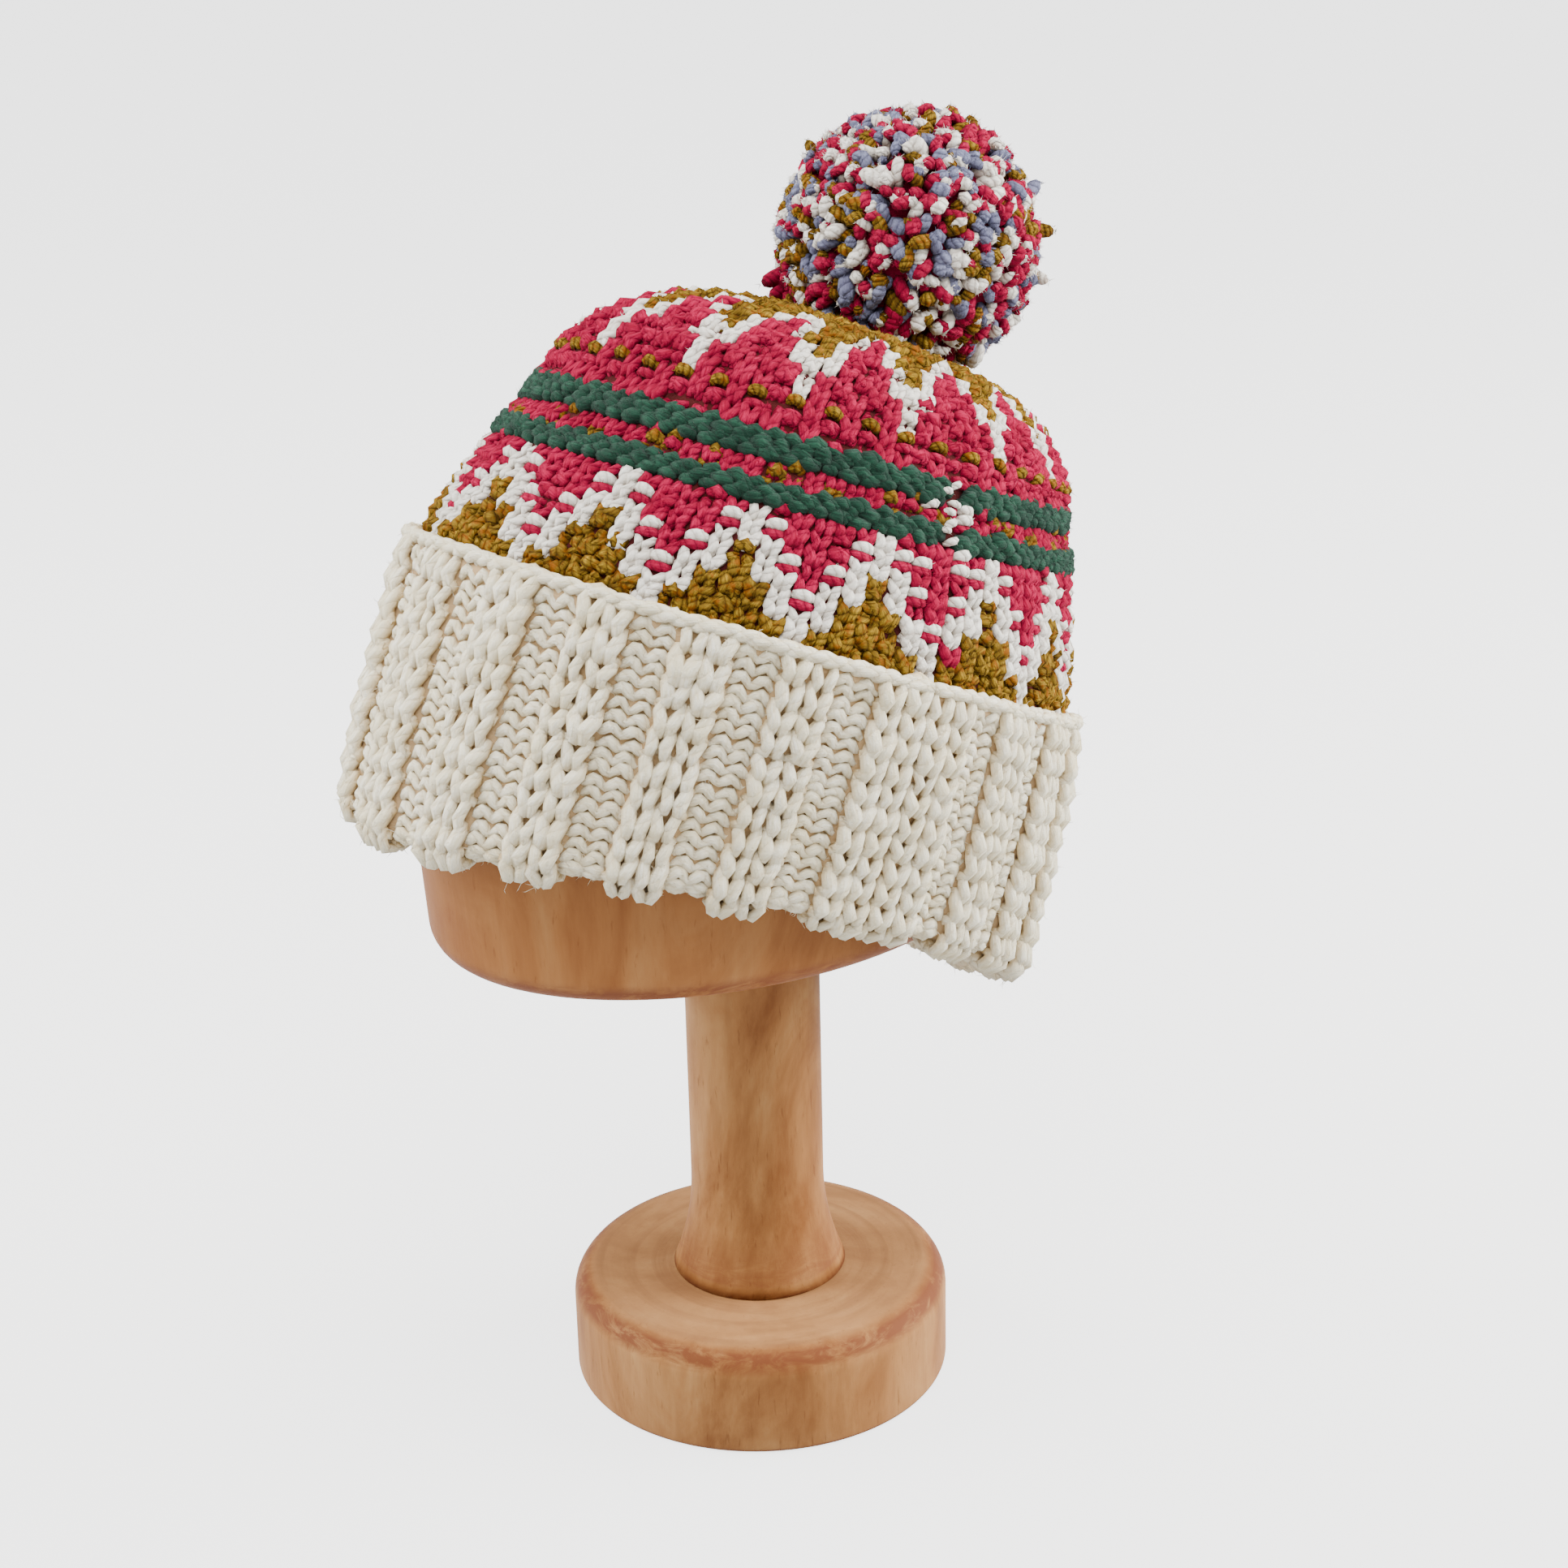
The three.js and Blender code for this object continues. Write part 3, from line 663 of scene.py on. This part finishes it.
AROUND = 180
ANGLES = SEAM_ANGLE + np.arange(AROUND) * 2 * math.pi / AROUND


def rib_layout():
    """Centre and width of each cuff stitch as shares of a turn, and whether it is purl."""
    purl = [stitch % 4 >= 2 for stitch in range(STITCHES)]
    weights = np.where(purl, 0.9, 1.1)
    weights = weights / weights.sum()
    edges = np.concatenate([[0], np.cumsum(weights)])
    return (edges[:-1] + edges[1:]) / 2, weights, purl


RIB_CENTRES, RIB_WIDTHS, RIB_PURL = rib_layout()


def cuff_shell():
    """The cloth behind the stitches, a closed band round the fold with the slot between its layers. It stands
    higher behind the ribs than between them. Its tan wool is a darker, shaded copy of the cuff's wool:
    painted shade in the gaps between stitches."""
    inner_end = -FOLD_LENGTH - (INNER_LAYER_HEIGHT - FOLD_RADIUS)
    climbs = [85.0, 82.5] + list(np.linspace(79.0, 0, 9))
    climbs += [-FOLD_LENGTH * step / 6 for step in range(1, 7)]
    climbs += list(np.linspace(climbs[-1], inner_end, 8))[1:]
    purl = np.repeat(RIB_PURL, 2)
    edges = np.concatenate([[0], np.cumsum(RIB_WIDTHS)[:-1]])
    angles = column_angle(np.stack([edges + RIB_WIDTHS * 0.25, edges + RIB_WIDTHS * 0.75], axis=-1).ravel())
    skin = np.where(purl, 4.9, 3.1)
    rings = [raised(cuff_band, angles, climb, -3.0 if climb > 82 else -skin) for climb in climbs]
    back = [climb for climb in climbs[::-1] if climb > 6 or climb < -FOLD_LENGTH - 6]
    rings += [raised(cuff_band, angles, climb, 0.2 - CUFF_WALL) for climb in back]
    show("cuff_backing", ring_mesh("cuff_backing", rings, closed_loop=True), shaded_backing_wool,
         "ribbed_cuff")


def body_shell():
    """The lining behind the body's stitches, in a dark wool: painted shade in the gaps between stitches."""
    outer = [raised(body_surface, ANGLES, place, -1.9) for place in np.linspace(-1.0, 8.6, 25)]
    inner = [raised(body_surface, ANGLES, place, 0.3 - BODY_WALL) for place in np.linspace(8.4, -1.0, 16)]
    show("body_backing", ring_mesh("body_backing", inner + outer), shaded_lining_wool,
         "patterned_body")


cuff_shell()
body_shell()


# Ribbed cuff

CUFF_PITCH = 8.8
CUFF_TOP_ROW = 88.0
INNER_ROWS_REACH = 42
RIB_YARN = 2.15
WAVE_YARN = 1.80
CORD_CLIMB = 86.9
CORD_DEPTH = 2.9
CORD_YARN = 1.8
CORD_SWING = 0.8
CORD_TURNS = 0.7
RIB_KNIT = dict(tall=0.68, depth=1.35, lean=0.21, thin=0.66, plump=0.42)


def make_cuff():
    """Rows of two knit and two purl stitches, from the outer edge down round the fold and up inside."""
    outer = Yarn("cuff_knitting")
    inner = Yarn("cuff_inner_knitting", sides=4)
    climb = CUFF_TOP_ROW - FOLD_RADIUS
    while climb > -FOLD_LENGTH - INNER_ROWS_REACH:
        fold = math.exp(-((climb + FOLD_LENGTH / 2) / 10) ** 2)
        yarn = inner if climb < -FOLD_LENGTH else outer
        steps = 6 if yarn is inner else 10
        top = max(0.0, climb + FOLD_RADIUS - 84)
        for first in range(0, STITCHES, 4):
            pair = slice(first, first + 2)
            yarn.add(*strand(cuff_band, RIB_CENTRES[pair] + rng.normal(0, 0.0004, 2), RIB_WIDTHS[pair],
                             climb, CUFF_PITCH, (False, False), RIB_YARN,
                             recess=2.3 - 1.0 * fold + 0.1 * top, steps=steps, knit=RIB_KNIT))
        for first in range(2, STITCHES - 2, 4):
            purl_waves(yarn, first, climb, 4.7 + 0.2 * fold - 0.2 * top, 4 if yarn is inner else 6)
        climb -= CUFF_PITCH
    cast_on_edge(outer)
    outer.finish(cuff_wool, "cuff_wool", "ribbed_cuff")
    inner.finish(cuff_wool, "cuff_wool", "ribbed_cuff")
    fuzz("cuff_fuzz", outer, count=4800, length=2.5, material=cuff_wool,
         node="ribbed_cuff", at_rim=3.0)


def purl_waves(yarn, first, climb, recess, steps):
    """The heads and the feet of two purl stitches, one wave above the other."""
    centre = (RIB_CENTRES[first] + RIB_CENTRES[first + 1]) / 2
    width = RIB_WIDTHS[first]
    for half, side in ((0.0, 1), (CUFF_PITCH / 2, -1)):
        share = np.linspace(-1.18, 1.18, 2 * steps + 1) * (1 + rng.normal(0, 0.02))
        phase = 2 * math.pi * (share - 0.5) + rng.normal(0, 0.25)
        swell = np.cos(phase + 0.5 * side)
        edge = np.clip((np.abs(share) - 0.85) / 0.3, 0, 1)
        heights = climb + half + 1.45 * (1 + rng.normal(0, 0.14)) * np.cos(phase) + rng.normal(0, 0.28)
        outs = -recess + 0.45 * swell - 0.9 * edge + rng.normal(0, 0.15)
        points, normals = raised(cuff_band, column_angle(centre + share * width), heights, outs, True)
        radii = WAVE_YARN * (0.94 + 0.14 * swell) * (1 + rng.normal(0, 0.06))
        # The last value is painted shade: lighter where the wave swells out, darker at its ends.
        yarn.add(points, radii, normals, 0.35 - 0.3 * swell + 0.3 * edge)


def cast_on_edge(yarn):
    """The cord along the cuff's top edge: two plies wound round each other."""
    count = STITCHES * 6
    turn = np.linspace(0, 1, count + 1)
    for phase in (0, math.pi):
        wind = turn * 2 * math.pi * STITCHES * CORD_TURNS + phase
        climb = CORD_CLIMB + CORD_SWING * np.sin(wind) + wander(count + 1, 0.25, 9)
        out = -CORD_DEPTH + CORD_SWING * np.cos(wind) + wander(count + 1, 0.2, 9)
        points, normals = raised(cuff_band, column_angle(turn), climb, out, True)
        # The last value is painted shade, kept low on the raised cord.
        yarn.add(points, CORD_YARN * (1 + wander(count + 1, 0.08, 6)), normals, 0.1)


# Patterned body

# Chart of one repeat, from the cuff upwards. C cream, M mustard, R crimson, p and m a purl bump in cream
# or in mustard over a crimson bar.
BODY_CHART = ["CMMMMM", "CMMMMM", "CCMMMC", "pCMMMC", "RCCMCC", "RpCMCp", "RRCCCR", "RRpCpR", "RRRCRR"]

# Crown rows above the second welt: one repeat each, with fewer stitches as the crown closes
CROWN_CHART = ["RRRRRR", "RmRmRm", "RRRCRR", "RRRCRR", "RRCCCR", "RRCMCR", "RCMMCR", "RCMMC", "CMMM",
               "MMMM", "MMMM", "MMM", "MMM", "MM", "MM", "M", "M"]

# How thick each yarn is knitted
THICKNESS = {"C": 0.94, "R": 1.0, "M": 1.10}

# Shares of purl stitches in each yarn, below and above the welts
BODY_PURLS = {"C": 0.0, "R": 0.15, "M": 0.45}
CROWN_PURLS = {"C": 0.15, "R": 0.42, "M": 0.45}


def make_body():
    """The chart from the cuff up, the two welts with a dotted band between them, and the crown."""
    yarns = {"C": Yarn("cream_knitting"), "R": Yarn("crimson_knitting"), "M": Yarn("mustard_knitting"),
             "G": Yarn("green_knitting", sides=8)}
    first_welt, second_welt = arc_of(FIRST_WELT_ROW), arc_of(SECOND_WELT_ROW)
    pitch = (first_welt - 3.0) / 9
    chart_row(yarns, -pitch * 0.5, "CMMMMM", pitch, 1.85, BODY_PURLS)
    for index, chart in enumerate(BODY_CHART):
        chart_row(yarns, pitch * (index + 0.5), chart, pitch, 1.88, BODY_PURLS)
    chart_row(yarns, (first_welt + second_welt) / 2 - 1.4, "MRRMRR", 5.2, 1.7, BODY_PURLS, recess=2.6)
    chart_row(yarns, (first_welt + second_welt) / 2 + 1.4, "RRRRMR", 5.2, 1.7, BODY_PURLS, recess=2.7)
    welt_row(yarns["G"], first_welt - 0.9, 2.0, 0.0)
    welt_row(yarns["G"], first_welt + 1.5, 2.1, 0.5)
    welt_row(yarns["G"], second_welt - 1.5, 2.1, 0.0)
    welt_row(yarns["G"], second_welt + 1.7, 2.3, 0.5)
    seam_bumps(yarns["C"], first_welt - 1, second_welt + 5)
    place = second_welt + 6.0
    crown_pitch = (ARC_LENGTHS[-1] - place - 4) / len(CROWN_CHART)
    for chart in CROWN_CHART:
        chart_row(yarns, place, chart, crown_pitch, 1.80, CROWN_PURLS)
        place += crown_pitch
    for key, yarn in yarns.items():
        material, slot = SLOTS[key]
        yarn.finish(material, slot, "patterned_body")
    for key, count, length in (("C", 3500, 1.5), ("R", 10500, 1.7), ("M", 10000, 1.8), ("G", 8500, 1.9)):
        material, slot = SLOTS[key]
        fuzz(yarns[key].name.replace("knitting", "fuzz"), yarns[key], count, length, material,
             "patterned_body", thickness=0.12, bends=False, lie=0.8)


WELT_PURL = dict(tall=0.20, depth=0.85, lean=0.17, thin=0.84, plump=0.26)


def welt_row(yarn, place, thickness, offset):
    """A raised row of purl bumps, open at the seam."""
    count = STITCHES - 1
    centres = (np.arange(count) + 1 + offset * 0.9) / STITCHES + rng.normal(0, 0.0008, count)
    yarn.add(*strand(body_surface, centres, [1 / STITCHES] * count, place, 5.4, [True] * count, thickness,
                     recess=1.7, place_of=body_place, purl=WELT_PURL))


def arch_over(count):
    """Shares from -1 to 1, and a round arch over them."""
    share = np.linspace(-1, 1, count)
    return share, np.sqrt(np.clip(1 - share ** 2, 0, 1))


def seam_bumps(yarn, start, end):
    """Small bumps where the rounds begin, one above the other across the welts."""
    share, arch = arch_over(7)
    for index, place in enumerate(np.arange(start, end, 3.0)):
        turns = (0.20 * (-1) ** index + 0.28 * share + rng.normal(0, 0.10)) / STITCHES
        heights = place + share * rng.normal(0, 0.7) + rng.normal(0, 0.4)
        points, normals = raised(body_surface, column_angle(turns), body_place(heights),
                                 -1.6 + 1.9 * arch, True)
        # The last value is painted shade, darker at the bump's ends where it sinks back.
        yarn.add(points, rng.uniform(0.95, 1.35) * (0.6 + 0.45 * arch), normals, 0.4 - 0.4 * arch)


def chart_row(yarns, place, chart, pitch, thickness, purl_shares, recess=2.2):
    """One row of the pattern. Its first column stands at the seam and at each repeat's edge."""
    per_repeat = len(chart)
    total = per_repeat * REPEATS
    width = 1 / total
    stitches = [chart[index % per_repeat] for index in range(total)]
    centres = np.arange(total) * width
    if purl_shares is BODY_PURLS:
        for index in (1, total - 1):
            if stitches[index] in "CR" and rng.random() < 0.45:
                stitches[index] = "p" if stitches[index] == "R" else "R"
    start = 0
    while start < total:
        symbol = stitches[start]
        end = start + 1
        if symbol in "CRM":
            while end < total and stitches[end] == symbol:
                end += 1
            purls = list(rng.random(end - start) < purl_shares[symbol])
            loose = 2.5 if symbol == "M" else 1.0
            jitter = rng.normal(0, 0.0004, end - start) * loose
            yarns[symbol].add(*strand(body_surface, centres[start:end] + jitter, [width] * (end - start),
                                      place + rng.normal(0, 0.15) * loose, pitch, purls,
                                      thickness * THICKNESS[symbol], recess=recess,
                                      place_of=body_place))
        else:
            bump_stitch(yarns["C" if symbol == "p" else "M"], yarns["R"], centres[start], width, place, pitch,
                        thickness, recess)
        start = end


def bump_stitch(bump, bar, centre, width, place, pitch, thickness, recess):
    """A purl bump of one yarn, over a bar of the other yarn below it."""
    share, arch = arch_over(9)
    lift, tilt = rng.normal(0.06, 0.05), rng.normal(0, 0.08)
    for yarn, reach, low, high, out, size in ((bump, 0.40, 0.04 + lift, 0.16, 3.4, 1.02),
                                              (bar, 0.56, -0.42, 0.06, 2.7, 0.88)):
        turns = centre + share * width * reach
        heights = place + pitch * (low + high * arch + tilt * share)
        points, normals = raised(body_surface, column_angle(turns), body_place(heights),
                                 -recess - 1.6 + out * arch, True)
        # The last value is painted shade, darker at the ends where the yarn dips back.
        yarn.add(points, thickness * size * (0.62 + 0.42 * arch), normals, 0.6 - 0.6 * arch)


make_cuff()
make_body()


# Pompom

POMPOM_RADIUS = 43.9
CROWN_CENTRE = np.array([0.0, 21.5, 191.7])
POMPOM_SHIFT = np.array([0.0, -12.0, 35.0])
POMPOM_CENTRE = to_row_frame((CROWN_CENTRE + POMPOM_SHIFT)[None])[0]
POMPOM_TUFTS = 1750
POMPOM_FIBRES = 31000
CORE_DEPTH = 5.5

# Ends that stand out of the ball in the front view: yarn, across, up, reach, size
STRAY_TUFTS = [("R", -0.97, -0.24, 4.5, 1.25), ("R", -0.94, -0.34, 3.5, 1.1), ("M", -0.72, 0.69, 2.0, 0.8),
               ("Y", 0.93, 0.36, 3.0, 1.1), ("M", 0.99, 0.10, 3.5, 1.1), ("C", 0.97, -0.25, 3.0, 1.0)]


def make_pompom():
    """Cut yarn ends in four colours, packed round a core and bent over at their tips."""
    yarns = {"C": Yarn("pompom_cream"), "R": Yarn("pompom_crimson"), "M": Yarn("pompom_mustard"),
             "Y": Yarn("pompom_grey")}
    golden = math.pi * (3 - math.sqrt(5))
    shares = {"R": 0.34, "C": 0.26, "M": 0.20, "Y": 0.20}
    lumps = unit(rng.normal(0, 1, (14, 3)))
    for tuft in range(POMPOM_TUFTS):
        level = 1 - 2 * (tuft + 0.5) / POMPOM_TUFTS
        reach = math.sqrt(1 - level * level)
        outward = np.array([reach * math.cos(tuft * golden), reach * math.sin(tuft * golden), level])
        outward += rng.normal(0, 0.03, 3)
        outward /= np.linalg.norm(outward)
        sideways = np.cross(outward, rng.normal(0, 1, 3))
        sideways /= np.linalg.norm(sideways)
        bend = rng.uniform(2.5, 8)
        swell = 1.5 * np.exp(-((1 - lumps @ outward) / 0.10) ** 2).sum() - 1.8
        tip = POMPOM_RADIUS + swell + rng.normal(-1.3, 0.7)
        lengths = np.array([tip - 12, tip - 5, tip - 1.9, tip - 0.7, tip - 0.3, tip - 0.15 * bend])
        bends = np.array([0, 0.05, 0.22, 0.55, 0.85, 1.0]) * bend
        points = POMPOM_CENTRE + (outward * lengths[:, None] + sideways * bends[:, None]) * MM
        key = rng.choice(list(shares), p=list(shares.values()))
        # The last list is painted shade, darkest at a tuft's root inside the ball.
        yarns[key].add(points, np.array([1.2, 1.8, 2.2, 2.25, 1.85, 0.85]) * (1 + rng.normal(0, 0.15)),
                       np.tile(outward, (6, 1)), [1.0, 1.0, 0.5, 0.15, 0.05, 0.1])
    for key, across, up, reach, size in STRAY_TUFTS:
        outward = PHOTO_RIGHT * across + PHOTO_UP * up
        outward /= np.linalg.norm(outward)
        sideways = np.cross(outward, rng.normal(0, 1, 3))
        lengths = POMPOM_RADIUS + reach * np.array([-3.0, -1.4, -0.6, 0.1, 0.7, 1.0])
        bends = np.array([0, 0.2, 0.6, 1.5, 2.4, 3.0])
        points = POMPOM_CENTRE + (outward * lengths[:, None] + sideways * bends[:, None]) * MM
        # The last list is painted shade, darker towards the root.
        yarns[key].add(points, np.array([1.5, 2.0, 2.3, 2.3, 1.9, 0.9]) * size,
                       np.tile(outward, (6, 1)), [1.0, 0.6, 0.2, 0.1, 0.0, 0.1])
    for key, yarn in yarns.items():
        material, slot = SLOTS[key]
        yarn.finish(material, slot, "pompom")
        for part in (yarn.points, yarn.normals, yarn.radii):
            part[:] = [values[2:] for values in part]
        fuzz(yarn.name + "_fuzz", yarn, int(POMPOM_FIBRES * shares[key]), 1.7, material, "pompom",
             thickness=0.13, bends=False, lie=0.75)
    ball = bmesh.new()
    bmesh.ops.create_icosphere(ball, subdivisions=4, radius=(POMPOM_RADIUS - CORE_DEPTH) * MM)
    bmesh.ops.translate(ball, verts=ball.verts, vec=Vector(POMPOM_CENTRE))
    show("pompom_core", mesh_of(ball, "pompom_core"), crimson_wool, "pompom")


make_pompom()


# Stand

BASE = dict(radius=64.3, height=37.1, foot_rounding=2.2, top_rounding=9.4)
POST = dict(radius=22.6, foot_radius=29.5, foot_flare=34.0, head_radius=24.4, head_flare=30.0)
BLOCK = dict(underside=171.6, half_length=99.9, half_width=75.4, foot_rounding=9.7, taper=0.064,
             aside=-5.0, forward=-8.2, shoulder=0.52, dome_power=2.3, top=361.0)
HOLLOW_FLARE = 1.3
HOLLOW_DROP = np.array([0, 0, 0.09])


def turned_piece(name, profile, segments, node):
    """Spins a profile of (radius, height) pairs round the post's axis."""
    maker = bmesh.new()
    vertices = [maker.verts.new((radius * MM, 0, height * MM)) for radius, height in profile]
    edges = [maker.edges.new(pair) for pair in zip(vertices, vertices[1:])]
    bmesh.ops.spin(maker, geom=vertices + edges, cent=(0, 0, 0), axis=(0, 0, 1), angle=2 * math.pi,
                   steps=segments, use_merge=True)
    bmesh.ops.remove_doubles(maker, verts=maker.verts, dist=1e-6)
    bmesh.ops.recalc_face_normals(maker, faces=maker.faces)
    show(name, mesh_of(maker, name), stand_wood, node)


def quarter(steps, first=0):
    """How much sine and cosine lack to one, along a quarter turn."""
    turns = [math.pi / 2 * step / steps for step in range(first, steps + 1)]
    return [(1 - math.sin(turn), 1 - math.cos(turn)) for turn in turns]


def make_stand():
    """The base with its rounded edges, the waisted post, and the block on top."""
    b = BASE
    profile = [(0, 0), (40, 0), (b["radius"] - b["foot_rounding"], 0)]
    profile += [(b["radius"] - b["foot_rounding"] * sine, b["foot_rounding"] * cosine)
                for sine, cosine in quarter(6, 1)]
    profile.append((b["radius"], 15))
    profile += [(b["radius"] - b["top_rounding"] * cosine, b["height"] - b["top_rounding"] * sine)
                for sine, cosine in quarter(10)]
    profile += [(45, b["height"]), (30, b["height"]), (0, b["height"])]
    turned_piece("turned_base", profile, 128, "stand_base")
    p = POST
    foot, head = b["height"] + SEAT_GAP, BLOCK["underside"] - SEAT_GAP
    profile = [(0, foot)]
    for step in range(0, 33):
        height = foot + (head - foot) * step / 32
        from_foot = max(0, 1 - (height - foot) / p["foot_flare"])
        from_head = max(0, 1 - (head - height) / p["head_flare"])
        radius = (p["radius"] + (p["foot_radius"] - p["radius"]) * from_foot ** 2
                  + (p["head_radius"] - p["radius"]) * from_head ** 2)
        profile.append((radius, height))
    profile.append((0, head))
    turned_piece("turned_post", profile, 96, "stand_post")
    make_block()


def make_block():
    """The oval block with its dome, cut back to the beanie's hollow."""
    k = BLOCK
    height = k["top"] - k["underside"]
    shoulder = height * k["shoulder"]
    turns = np.arange(96) * 2 * math.pi / 96

    def ring(growth, level):
        return np.stack([(k["half_width"] + growth) * np.cos(turns) + k["aside"],
                         (k["half_length"] + growth) * np.sin(turns) + k["forward"],
                         np.full(96, k["underside"] + level)], axis=-1) * MM

    rings = [ring(-k["foot_rounding"] * sine, k["foot_rounding"] * cosine) for sine, cosine in quarter(8)]
    widest = math.tan(k["taper"]) * (shoulder - k["foot_rounding"])
    rings.append(ring(widest * 0.5, k["foot_rounding"] + (shoulder - k["foot_rounding"]) * 0.5))
    for step in range(0, 12):
        turn = math.pi / 2 * step / 12
        climb, spread = math.sin(turn) ** (2 / k["dome_power"]), math.cos(turn) ** (2 / k["dome_power"])
        rings.append(ring((k["half_width"] + widest) * (spread - 1) + widest,
                          shoulder + (height - shoulder) * climb))
    block = show("oval_block", ring_mesh("oval_block", rings), stand_wood, "stand_block")
    inner = 2 * CUFF_WALL + CUFF_SLOT + SEAT_GAP
    base_ring = raised(cuff_surface, ANGLES, 0.0, -inner)
    middle = base_ring.mean(axis=0)
    hollow_rings = [(base_ring - middle) * HOLLOW_FLARE + middle - HOLLOW_DROP]
    hollow_rings += [raised(cuff_surface, ANGLES, level, -inner) for level in (0, 30, 60, 82)]
    hollow_rings += [raised(body_surface, ANGLES, place, -BODY_WALL - SEAT_GAP)
                     for place in np.linspace(0.2, 8.3, 24)]
    hollow = placed("hollow", ring_mesh("hollow", hollow_rings))
    cut = block.modifiers.new("hollow", "BOOLEAN")
    cut.operation = "INTERSECT"
    cut.solver = "EXACT"
    cut.object = hollow
    depsgraph = bpy.context.evaluated_depsgraph_get()
    mesh = bpy.data.meshes.new_from_object(block.evaluated_get(depsgraph))
    block.modifiers.clear()
    block.data = mesh
    bpy.data.objects.remove(hollow)


make_stand()


# Floor, light and camera

def make_floor():
    maker = bmesh.new()
    bmesh.ops.create_grid(maker, x_segments=1, y_segments=1, size=12)
    floor = placed("studio_floor", mesh_of(maker, "studio_floor"))
    material, _, shader = new_material("studio_floor")
    set_inputs(shader, {"Base Color": (0.27, 0.262, 0.25, 1), "Roughness": 1.0, "Specular IOR Level": 0.0,
                        "Emission Color": (0.99, 0.995, 1, 1), "Emission Strength": 2.70})
    floor.data.materials.append(material)
    floor.visible_diffuse = False


def area_light(name, place, target, size, power, colour=(1, 1, 1), seen=True):
    light = bpy.data.lights.new(name, "AREA")
    light.shape = "DISK"
    light.size = size
    light.energy = power
    light.color = colour
    holder = placed(name, light)
    holder.visible_camera = seen
    turn = (Vector(target) - Vector(place)).to_track_quat("-Z", "Y").to_matrix().to_4x4()
    holder.matrix_world = Matrix.Translation(place) @ turn


def make_studio():
    make_floor()
    world = bpy.data.worlds.new("studio")
    bpy.context.scene.world = world
    world.use_nodes = True
    set_inputs(world.node_tree.nodes["Background"], {"Color": (1, 1, 1, 1), "Strength": 1.10})
    area_light("left_window", (-1.00, -1.20, 0.90), (0, 0, 0.25), 1.5, 60)
    area_light("right_window", (0.75, 1.35, 0.75), (0, 0, 0.22), 1.5, 92)
    area_light("overhead", (0.60, -0.35, 2.1), (0, 0, 0.3), 1.8, 78)
    area_light("floor_bounce", (0.55, -0.30, 0.004), (0.55, -0.30, 1.0), 0.9, 2.6, (1, 0.98, 0.95),
               seen=False)
    camera = bpy.data.cameras.new("photo_camera")
    camera.lens = FOCAL_PIXELS / PHOTO_PIXELS * SENSOR_WIDTH
    camera.sensor_width = SENSOR_WIDTH
    camera.clip_end = 50
    holder = placed("photo_camera", camera)
    turn = Matrix((PHOTO_RIGHT, PHOTO_UP, PHOTO_BACK)).transposed().to_4x4()
    holder.matrix_world = Matrix.Translation(PHOTO_PLACE) @ turn
    bpy.context.scene.camera = holder


make_studio()
